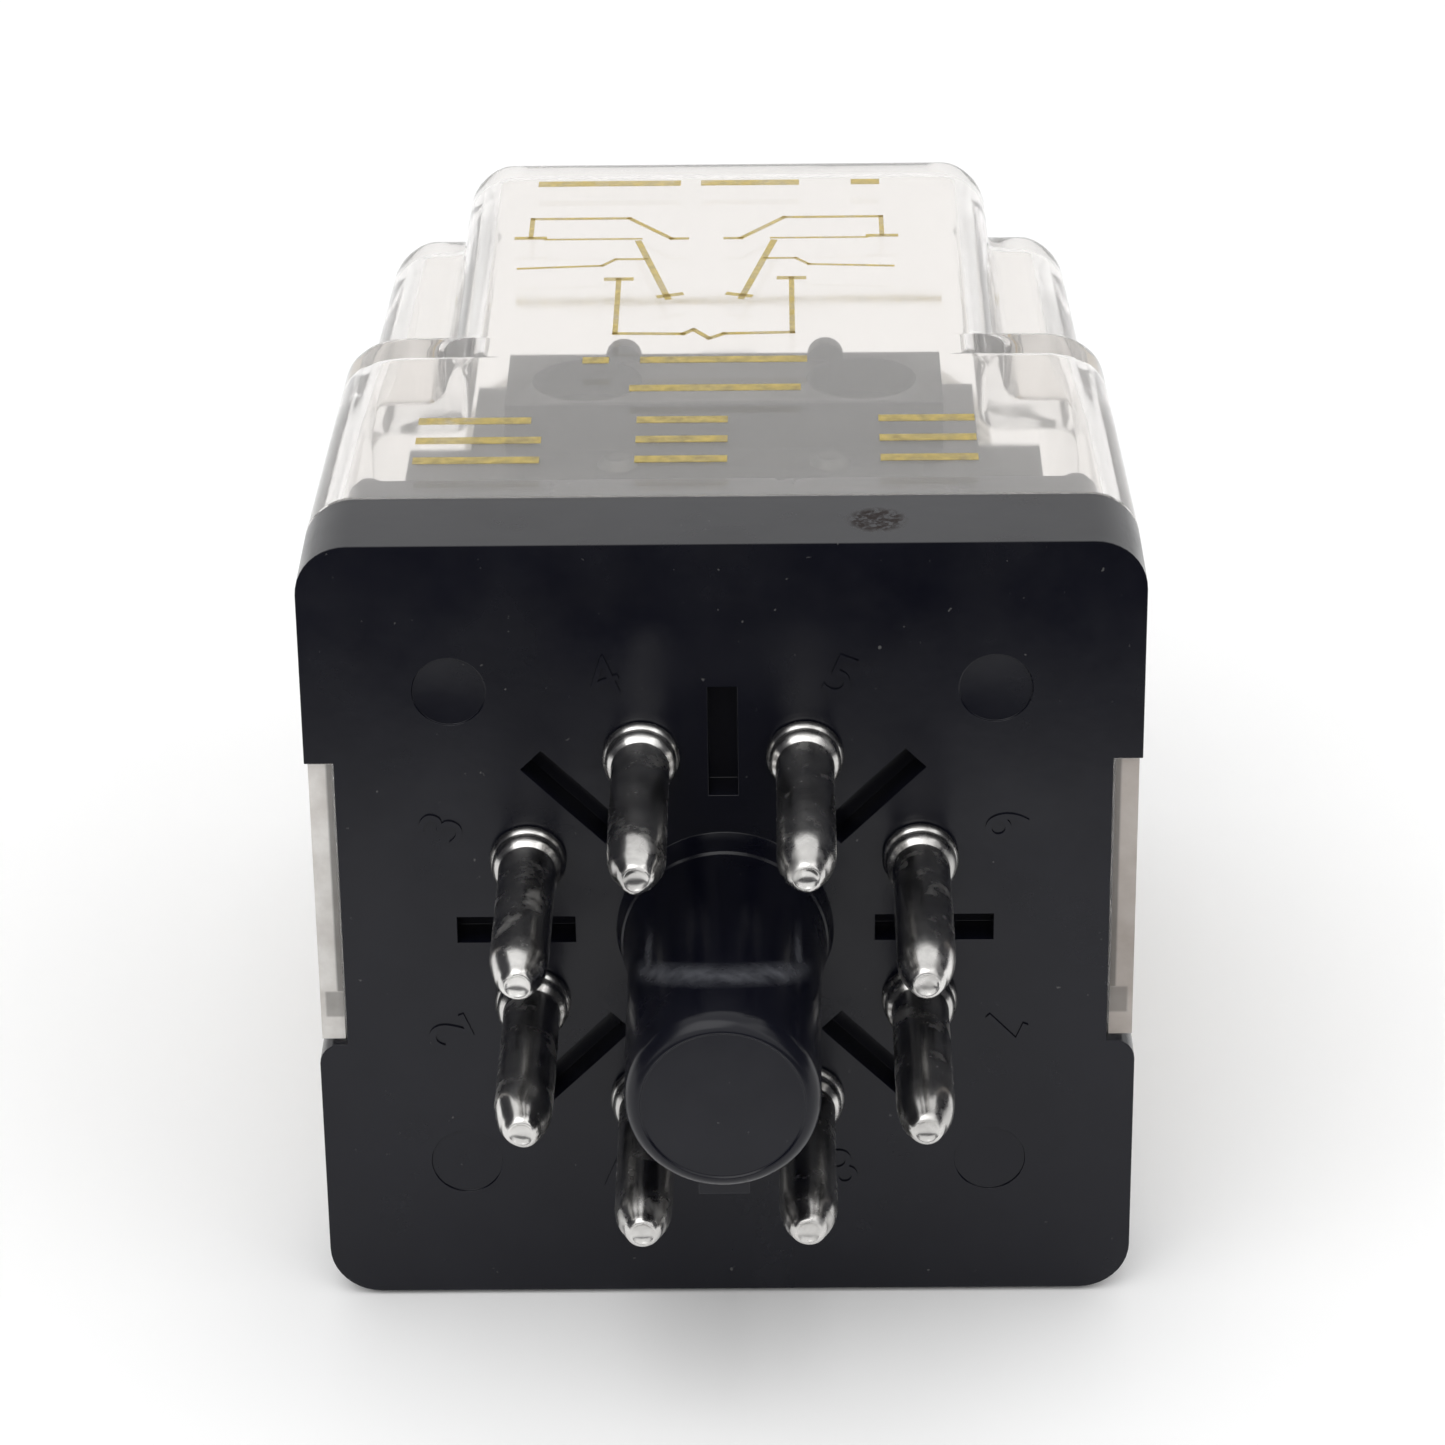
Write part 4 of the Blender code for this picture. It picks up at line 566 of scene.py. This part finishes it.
def dress_solids():
    """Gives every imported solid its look, joined vertices, small edge radii and soft shading."""
    group = softening()
    for row in frame["record"]["subparts"]:
        node = frame["nodes"][row["node"]]
        look = SPECIAL_LOOKS.get(row["node"], LOOKS[row["material_slot"]])
        if not node.material_slots:
            node.data.materials.append(look)
        for place in node.material_slots:
            place.link = "OBJECT"
            place.material = look
        weld = node.modifiers.new("weld", "WELD")
        weld.merge_threshold = 0.000002
        if row["node"] in ("frame", "armature", "contact_block", "carrier_left", "carrier_right"):
            bevel(node, 0.15, 2, 50.0)
        soft = node.modifiers.new("soft", "NODES")
        soft.node_group = group


def pin_place(number):
    """A pin's x and z, counted clockwise from the key as seen from the front."""
    turn = math.radians(270.0 - 22.5 - 45.0 * (number - 1))
    return PIN_CIRCLE * math.cos(turn), PIN_RAISE + PIN_CIRCLE * math.sin(turn)


def make_pins():
    """Eight pins with a rolled two-lip collar and an uneven tip with a dished end."""
    profile = [
        (4.6, 0.0), (4.6, 1.0), (4.5, 1.14), (4.35, PIN_R), (3.7, PIN_R), (3.62, 1.3), (3.5, 1.5),
        (3.35, 1.58), (3.2, 1.56), (3.06, 1.48), (3.05, PIN_R), (-0.05, PIN_R), (-0.05, 1.5),
        (-0.12, 1.56), (-0.26, 1.58), (-0.42, 1.55), (-0.5, 1.47), (-0.56, 1.42), (-0.62, 1.43),
        (-0.7, 1.46), (-0.86, 1.46), (-1.02, 1.4), (-1.14, 1.3), (-1.2, 1.2), (-1.24, PIN_R),
        (-3.0, PIN_R), (-6.0, PIN_R), (TIP_START, PIN_R),
    ]
    profile += [
        (TIP_START - TIP_REACH * math.sin(t), PIN_R * math.cos(t))
        for t in (math.radians(6.0 * i) for i in range(1, 9))
    ]
    profile += [
        (-10.5, 0.75), (-10.62, 0.7), (-10.72, 0.63), (-10.78, 0.56), (-10.8, 0.5), (-10.77, 0.45),
        (-10.72, 0.38), (-10.68, 0.27), (-10.66, 0.14), (-10.65, 0.0),
    ]
    uneven_from, uneven_over, lumps, shift = 8.2, 1.2, 0.034, 0.00004
    chance = random.Random(7)
    for number in range(1, 9):
        x, z = pin_place(number)
        bm = turned(x, z, profile, 40)
        lean = [chance.uniform(-1.0, 1.0) for _ in range(6)]
        axis = world(x, 0.0, z)
        for vert in bm.verts:
            depth = (axis.y - vert.co.y) * 1000.0
            if depth > uneven_from:
                share = min(1.0, (depth - uneven_from) / uneven_over)
                turn = math.atan2(vert.co.z - axis.z, vert.co.x - axis.x)
                swell = 1.0 + share * lumps * (
                    lean[0] * math.sin(turn * 2 + lean[1] * 3)
                    + lean[2] * math.sin(turn * 3 + depth * 2.5 + lean[3])
                )
                vert.co.x = axis.x + (vert.co.x - axis.x) * swell + share * lean[4] * shift
                vert.co.z = axis.z + (vert.co.z - axis.z) * swell + share * lean[5] * shift
        pin = add(f"octal_pin_{number}", bm, LOOKS["tinned_brass"], 50.0)
        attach(pin, BODY)
        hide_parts(f"pin_{number}")


def face_slot(degrees):
    """A cutter for one radial slot of the face."""
    out = Vector((math.cos(math.radians(degrees)), math.sin(math.radians(degrees))))
    side = Vector((-out.y, out.x)) * SLOT_HALF
    near, far = (out * reach for reach in SLOT_REACH)
    corners = [near - side, far - side, far + side, near + side]
    return skin([[(c.x, y, PIN_RAISE + c.y) for c in corners] for y in (-SLOT_DEPTH, SLOT_DEPTH)])


def merge(parts):
    """Several meshes as one, the parts freed."""
    joined = bmesh.new()
    for bm in parts:
        start = {vert: joined.verts.new(vert.co) for vert in bm.verts}
        for face in bm.faces:
            joined.faces.new([start[vert] for vert in face.verts])
        bm.free()
    return joined


def shoulder_round(side):
    """A cutter that rounds the lower corner of a side notch."""
    x, z, radius, spare = HALF_W, NOTCH_Z[0], NOTCH_ROUND, 0.1
    arc = [math.radians(15.0 * i) for i in range(7)]
    outline = [(x - radius + radius * math.cos(t), z - radius + radius * math.sin(t)) for t in arc]
    outline += [(x - radius, z + spare), (x + spare, z + spare), (x + spare, z - radius)]
    return skin([[(side * px, y, pz) for px, pz in outline] for y in (-1.0, 6.0)])


def make_base():
    """The black base with its keyed post, slots, notches, pocket, bosses and corner pegs."""
    base = add("plug_base", slab(HALF_W, HALF_H, CORNER, (0.0, FLANGE)), LOOKS["black_moulding"])
    notches = [
        box(sorted((side * (HALF_W - WALL - 0.1), side * (HALF_W + 2.0))), (-1.0, 9.0), NOTCH_Z)
        for side in (-1, 1)
    ]
    notches += [shoulder_round(side) for side in (-1, 1)]
    carve(base, "DIFFERENCE", [merge(notches[:2]), merge(notches[2:])])
    carve(base, "UNION", [slab(PLUG_X, PLUG_Z, 1.05, (2.4, PLUG_END))])
    carve(base, "DIFFERENCE", [slab(PLUG_X - 1.4, PLUG_Z - 1.4, 1.0, (FLOOR, 16.0))])
    peg = [
        (FLOOR, 0.0), (FLOOR, 0.95), (8.35, 0.95), (8.8, 0.84), (9.12, 0.56), (9.27, 0.25), (9.3, 0.0),
    ]
    pegs = [
        turned(sx * (PLUG_X - 1.05), sz * (PLUG_Z - 1.05), peg, 24)
        for sx in (-1, 1)
        for sz in (-1, 1)
    ]
    carve(base, "UNION", [merge(pegs)])
    ridges = []
    for side in (-1, 1):
        outline = [
            (side * (PLUG_X - 0.55), 5.7), (side * PLUG_X, 5.7), (side * (PLUG_X + 0.4), 5.98),
            (side * PLUG_X, 7.1), (side * (PLUG_X - 0.55), 7.1),
        ]
        ridges.append(skin([[(px, py, z) for px, py in outline] for z in SNAP_Z]))
    bosses, holes = [], []
    for side in (-1, 1):
        for x, z, radius, top in ((8.0, -11.7, 1.1, 8.95), (12.2, 10.0, 0.9, 7.25)):
            bosses.append(rod(side * x, z, 1.5, top, radius + 0.9))
            holes.append(rod(side * x, z, 4.2, top * 2, radius + 0.05))
    carve(base, "UNION", [merge(ridges), merge(bosses)])
    post = turned(0.0, PIN_RAISE, [
        (1.5, 0.0), (1.5, 4.5), (0.0, 4.5), (-0.2, 4.4), (-0.5, 4.33), (-1.1, 4.31),
        (-1.26, 4.28), (-1.36, 4.18), (-1.9, 4.12), (-2.4, 4.06), (-2.9, 3.99), (-3.5, 3.94),
        (-10.9, POST_R), (-11.3, 3.87), (-13.6, 3.86), (-13.9, 3.82), (-14.15, 3.7),
        (-14.32, 3.52), (-14.4, 3.36), (-14.4, 3.26), (-14.33, 3.2), (-14.33, 0.0),
    ], 72)
    key = box((-1.0, 1.0), (-13.4, 1.0), (PIN_RAISE - 4.57, PIN_RAISE - 2.0))
    carve(base, "UNION", [post, key])
    for number in range(1, 9):
        x, z = pin_place(number)
        holes.append(rod(x, z, -1.0, 3.6, PIN_R + 0.05))
        holes.append(face_slot(45.0 * number))
    dish = [
        (-0.5, 0.0), (-0.5, 1.5), (0.09, 1.5), (0.107, 1.2),
        (0.12, 0.9), (0.131, 0.6), (0.138, 0.3), (0.14, 0.0),
    ]
    for sx in (-1, 1):
        for sz in (-1, 1):
            holes.append(turned(sx * EJECTOR_PLACE, sz * EJECTOR_PLACE, dish, 40))
    carve(base, "DIFFERENCE", [merge(holes)])
    shade(base.data, 30.0)
    bevel(base, 0.14, 2, 35.0)
    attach(base, BODY)
    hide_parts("base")


def corner_point(half_x, half_z, radius, share):
    """A point on a plain round corner, by its share of the quarter turn."""
    turn = math.pi / 2 * share
    return half_x - radius + radius * math.cos(turn), half_z - radius + radius * math.sin(turn)


def cover_ring(y, inset, notch, rounding=0.0):
    """One outline of the cover; notch runs from 0, plain corners, to 1, stepped corners.

    The rounding at the far end draws the sides in more than the upper and lower walls.
    """
    steps = 7
    fall = inset + END_CROWN * rounding
    inset += rounding
    half_x = HALF_W - DRAFT * (y - RIM_Y) / (COVER_END - RIM_Y) - inset
    half_z = HALF_H - fall
    panel_x, side_z = PANEL_X - inset, SIDE_Z - fall
    fillet = STEP_FILLET
    edge = max(STEP_EDGE - inset, fillet)
    corner = max(CORNER - inset, fillet)
    path = []
    for run in range(3):
        for i in range(steps + 1):
            share = i / steps
            turn = math.pi / 2 * share
            c, s = math.cos(turn), math.sin(turn)
            if run == 0:
                stepped = (half_x - edge + edge * c, side_z - edge + edge * s)
                plain = (
                    (half_x, side_z - edge) if i == 0
                    else corner_point(half_x, half_z, corner, 0.4 * (i - 1) / (steps - 1))
                )
            elif run == 1:
                stepped = (panel_x + fillet - fillet * s, side_z + fillet - fillet * c)
                plain = corner_point(half_x, half_z, corner, 0.42 + 0.16 * share)
            else:
                stepped = (panel_x - edge + edge * c, half_z - edge + edge * s)
                plain = (
                    (panel_x - edge, half_z) if i == steps
                    else corner_point(half_x, half_z, corner, 0.6 + 0.4 * i / (steps - 1))
                )
            path.append(tuple(a + (b - a) * notch for a, b in zip(plain, stepped)))
    path.append((panel_x - edge - 0.6, half_z))
    tab_bottom, tab_top = TAB_Z
    upper = [(half_x, tab_bottom), (half_x, tab_top)] + path + [(-px, pz) for px, pz in reversed(path)]
    lower = [(-half_x, tab_top), (-half_x, tab_bottom)]
    lower += [(-px, -pz) for px, pz in path] + [(px, -pz) for px, pz in reversed(path)]
    return [(px, y, pz) for px, pz in upper + lower]


def make_cover():
    """The clear shell, rounded at its far end and at the shoulders, with two latch tabs."""
    shoulder = [
        (-0.6, 0.0), (-0.3, 0.02), (-0.12, 0.06), (-0.03, 0.14), (0.0, 0.3),
        (0.02, 0.75), (0.1, 0.9), (0.3, 0.97), (0.7, 1.0),
    ]
    end_turns = [math.pi / 2 * i / 6 for i in range(7)]
    rim_edge = 0.12
    outer = [
        cover_ring(RIM_Y, rim_edge, 0.0),
        cover_ring(RIM_Y + rim_edge, 0.0, 0.0),
        cover_ring(STRAIGHT_Y, 0.0, 0.0),
    ]
    outer += [cover_ring(SHOULDER + dy, 0.0, w) for dy, w in shoulder]
    outer += [
        cover_ring(COVER_END - FAR_ROUND * (1 - math.sin(t)), 0.0, 1.0, FAR_ROUND * (1 - math.cos(t)))
        for t in end_turns
    ]
    small = FAR_INNER_ROUND
    inner = [
        cover_ring(COVER_END - WALL - small * (1 - math.sin(t)), WALL, 1.0, small * (1 - math.cos(t)))
        for t in reversed(end_turns)
    ]
    inner += [cover_ring(SHOULDER - WALL + dy, WALL, w) for dy, w in reversed(shoulder)]
    inner += [cover_ring(STRAIGHT_Y, WALL, 0.0), cover_ring(RIM_Y, WALL, 0.0)]
    bm = bmesh.new()
    sides = []
    for rings in (outer, inner):
        made = [[bm.verts.new(world(*point)) for point in ring] for ring in rings]
        sides.append(made)
        for lower, upper in zip(made, made[1:]):
            for i in range(len(lower)):
                j = (i + 1) % len(lower)
                bm.faces.new((lower[i], lower[j], upper[j], upper[i]))
    bm.faces.new(sides[0][-1])
    bm.faces.new(sides[1][0])
    rim_out, rim_in = sides[0][0], sides[1][-1]
    tabs = []
    for i in range(len(rim_out)):
        j = (i + 1) % len(rim_out)
        face = bm.faces.new((rim_out[i], rim_out[j], rim_in[j], rim_in[i]))
        if i in (0, len(rim_out) // 2):
            tabs.append(face)
    for face in bmesh.ops.extrude_discrete_faces(bm, faces=tabs)["faces"]:
        bmesh.ops.translate(bm, verts=face.verts, vec=(0.0, (TAB_TIP_Y - RIM_Y) * 0.001, 0.0))
    bmesh.ops.remove_doubles(bm, verts=bm.verts, dist=1e-6)
    bmesh.ops.dissolve_degenerate(bm, edges=bm.edges, dist=1e-6)
    bmesh.ops.recalc_face_normals(bm, faces=bm.faces)
    cover = add("clear_cover_shell", bm, LOOKS["clear_cover"], COVER_ANGLE)
    groove_z = (SNAP_Z[0] - 0.1, SNAP_Z[1] + 0.1)
    grooves = [
        box(sorted((side * (PLUG_X - 0.3), side * (PLUG_X + 0.5))), (5.6, 7.2), groove_z)
        for side in (-1, 1)
    ]
    carve(cover, "DIFFERENCE", [merge(grooves)])
    shade(cover.data, COVER_ANGLE)
    cover.data.materials.append(TIP_LOOK)
    tip_y = world(0.0, TAB_TIP_Y + 0.05, 0.0).y
    for face in cover.data.polygons:
        if face.center.y < tip_y:
            face.material_index = 1
    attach(cover, BODY)
    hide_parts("cover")


# Print and moulded numbers


def stroke(points, width, z_low, z_high):
    """A thin printed line through (x, y) points, as one closed strip per stretch."""
    parts = []
    for (x0, y0), (x1, y1) in zip(points, points[1:]):
        run = Vector((x1 - x0, y1 - y0)).normalized()
        side = Vector((-run.y, run.x)) * width / 2
        reach = run * width / 2
        corners = [
            (x0 - reach.x + side.x, y0 - reach.y + side.y),
            (x0 - reach.x - side.x, y0 - reach.y - side.y),
            (x1 + reach.x - side.x, y1 + reach.y - side.y),
            (x1 + reach.x + side.x, y1 + reach.y + side.y),
        ]
        parts.append(skin([[(px, py, z) for px, py in corners] for z in (z_low, z_high)]))
    return parts


def make_print():
    """A plain contact diagram and plain bars in gold on the upper wall, and a rule on the far wall."""
    low, high = HALF_H + PRINT_LOW, HALF_H + PRINT_HIGH
    strokes = (
        (0.22, ((8.1, 34.5), (8.1, 37.0), (3.6, 37.0), (1.6, 34.3), (0.9, 34.3))),
        (0.3, ((8.7, 34.5), (7.5, 34.5))),
        (0.13, ((7.4, 34.3), (3.0, 34.3))),
        (0.3, ((3.1, 33.9), (1.65, 26.8))),
        (0.3, ((2.0, 27.0), (1.1, 27.3))),
        (0.16, ((8.5, 30.6), (4.7, 30.9), (4.1, 31.7), (2.7, 31.7))),
        (0.24, ((3.9, 29.2), (3.9, 22.6), (0.9, 22.5))),
        (0.34, ((4.4, 29.2), (3.4, 29.2))),
    )
    lines = []
    for side in (-1, 1):
        for width, points in strokes:
            lines += stroke([(PRINT_AXIS + side * px, py) for px, py in points], width, low, high)
    zigzag = [(0.9, 22.5), (0.45, 23.0), (-0.25, 21.95), (-0.9, 22.5)]
    lines += stroke([(PRINT_AXIS - px, py) for px, py in zigzag], 0.24, low, high)
    bars = [
        (-8.9, -2.2, 41.7), (-1.2, 3.4, 41.7), (5.9, 7.2, 41.7),
        (-6.1, -5.0, 19.5), (-3.6, 3.6, 19.5), (-4.0, 3.3, 16.3),
    ]
    for y, left_end in ((12.8, -8.1), (10.7, -7.6), (8.6, -7.6)):
        bars += [(-12.8, left_end, y), (-3.6, 0.2, y), (6.6, 10.6, y)]
    for x0, x1, y in bars:
        lines += stroke([(x0 + 0.3, y), (x1 - 0.3, y)], 0.65, low, high)
    diagram = add("gold_print", merge(lines), INK, 20.0)
    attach(diagram, BODY)
    depth = (COVER_END + PRINT_LOW, COVER_END + PRINT_HIGH)
    rule = add("gold_rule", box((-10.4, 10.4), depth, (9.5, 9.75)), INK, 20.0)
    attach(rule, BODY)


def make_numbers():
    """Pin numbers moulded on the face, each with its top pointing away from the post."""
    for number in range(1, 9):
        x, z = pin_place(number)
        out = Vector((x, z - PIN_RAISE)).normalized()
        curve = bpy.data.curves.new("number", "FONT")
        curve.body = str(number)
        curve.size = 0.0026
        curve.extrude = 0.00006
        curve.align_x = "CENTER"
        curve.align_y = "CENTER"
        text = bpy.data.objects.new("number", curve)
        bpy.context.scene.collection.objects.link(text)
        up = Vector((out.x, 0.0, out.y))
        facing = Vector((0.0, -1.0, 0.0))
        across = up.cross(facing)
        spot = world(out.x * NUMBER_REACH, 0.0, PIN_RAISE + out.y * NUMBER_REACH)
        turn = Matrix((across, up, facing)).transposed().to_4x4()
        text.matrix_world = Matrix.Translation(spot + facing * 0.00003) @ turn
        graph = bpy.context.evaluated_depsgraph_get()
        graph.update()
        mesh = bpy.data.meshes.new_from_object(text.evaluated_get(graph))
        mesh.transform(text.matrix_world)
        bpy.data.objects.remove(text, do_unlink=True)
        digit = bpy.data.objects.new(f"pin_number_{number}", mesh)
        bpy.context.scene.collection.objects.link(digit)
        mesh.materials.clear()
        mesh.materials.append(LOOKS["black_moulding"])
        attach(digit, BODY)


# Stage, light and camera


def is_seen(tree):
    """1 for camera, glossy and transmission rays, and 0 for the light that falls on the object."""
    rays = tree.nodes.new("ShaderNodeLightPath").outputs
    direct = sum_up(tree, "MAXIMUM", rays["Is Camera Ray"], rays["Is Glossy Ray"])
    return sum_up(tree, "MAXIMUM", direct, rays["Is Transmission Ray"])


def make_stage():
    """White world, white floor, two soft lamps, and dark cards that only reflections show."""
    scene = bpy.context.scene
    scene.view_settings.view_transform = "Standard"
    sky = bpy.data.worlds.new("studio")
    scene.world = sky
    sky.use_nodes = True
    tree = sky.node_tree
    light = tree.nodes["Background"]
    light.inputs["Color"].default_value = (1.0, 1.0, 1.0, 1.0)
    tree.links.new(spread(tree, is_seen(tree), 0.85, 1.0, 0.0, 1.0), light.inputs["Strength"])

    bm = bmesh.new()
    bmesh.ops.create_grid(bm, x_segments=1, y_segments=1, size=3.0)
    material, _, shader = new_material("floor_look")
    shader.inputs["Base Color"].default_value = (0.98, 0.98, 0.98, 1.0)
    shader.inputs["Roughness"].default_value = 0.9
    shader.inputs["Specular IOR Level"].default_value = 0.0
    floor = add("floor", bm, material)
    floor.location.z = -0.0002

    material, _, shader = new_material("card_look")
    shader.inputs["Base Color"].default_value = (0.02, 0.02, 0.025, 1.0)
    shader.inputs["Roughness"].default_value = 1.0
    card_half = 0.25
    cards = (
        ("dark_card", (0.0, -0.32, 0.0002), 0.0, 1.0),
        ("left_card", (-0.40, 0.10, card_half), math.pi / 2, 2.0),
        ("right_card", (0.40, 0.10, card_half), math.pi / 2, 2.0),
    )
    for name, place, turn, stretch in cards:
        bm = bmesh.new()
        bmesh.ops.create_grid(bm, x_segments=1, y_segments=1, size=card_half)
        card = add(name, bm, material)
        card.location = place
        card.rotation_euler.y = turn
        card.scale.y = stretch
        card.visible_camera = False
        card.visible_diffuse = False
        card.visible_shadow = False
        card.visible_transmission = False

    def lamp(name, place, size, power):
        data = bpy.data.lights.new(name, "AREA")
        data.shape = "RECTANGLE"
        data.size, data.size_y = size
        data.energy = power
        item = bpy.data.objects.new(name, data)
        scene.collection.objects.link(item)
        item.location = place
        aim = Vector((0.0, 0.0, 0.015)) - Vector(place)
        item.rotation_euler = aim.to_track_quat("-Z", "Y").to_euler()

    lamp("key_lamp", (-0.16, -0.30, 0.50), (0.50, 0.50), 1.2)
    lamp("fill_lamp", (0.35, -0.20, 0.35), (0.45, 0.45), 0.4)


def make_camera():
    """The photograph's camera, found by fitting the eight pins and the face."""
    pitch, yaw, roll = 0.4591, 0.0128, -0.0130
    sensor, photo_pixels, focal_pixels = 36.0, 1445.0, 4930.72
    forward = Vector((-math.sin(yaw) * math.cos(pitch), math.cos(yaw) * math.cos(pitch), -math.sin(pitch)))
    right = Vector((math.cos(yaw), math.sin(yaw), 0.0))
    up = Vector((-math.sin(yaw) * math.sin(pitch), math.cos(yaw) * math.sin(pitch), math.cos(pitch)))
    turned_right = right * math.cos(roll) + up * math.sin(roll)
    turned_up = up * math.cos(roll) - right * math.sin(roll)
    data = bpy.data.cameras.new("photo_camera")
    data.sensor_width = sensor
    data.lens = sensor * focal_pixels / photo_pixels
    data.clip_start = 0.01
    camera = bpy.data.objects.new("photo_camera", data)
    bpy.context.scene.collection.objects.link(camera)
    turn = Matrix((turned_right, turned_up, -forward)).transposed().to_4x4()
    camera.matrix_world = Matrix.Translation(world(2.293, -179.3225, 98.2674)) @ turn
    bpy.context.scene.camera = camera


make_camera()
make_stage()
dress_solids()
make_pins()
make_base()
make_cover()
make_print()
make_numbers()
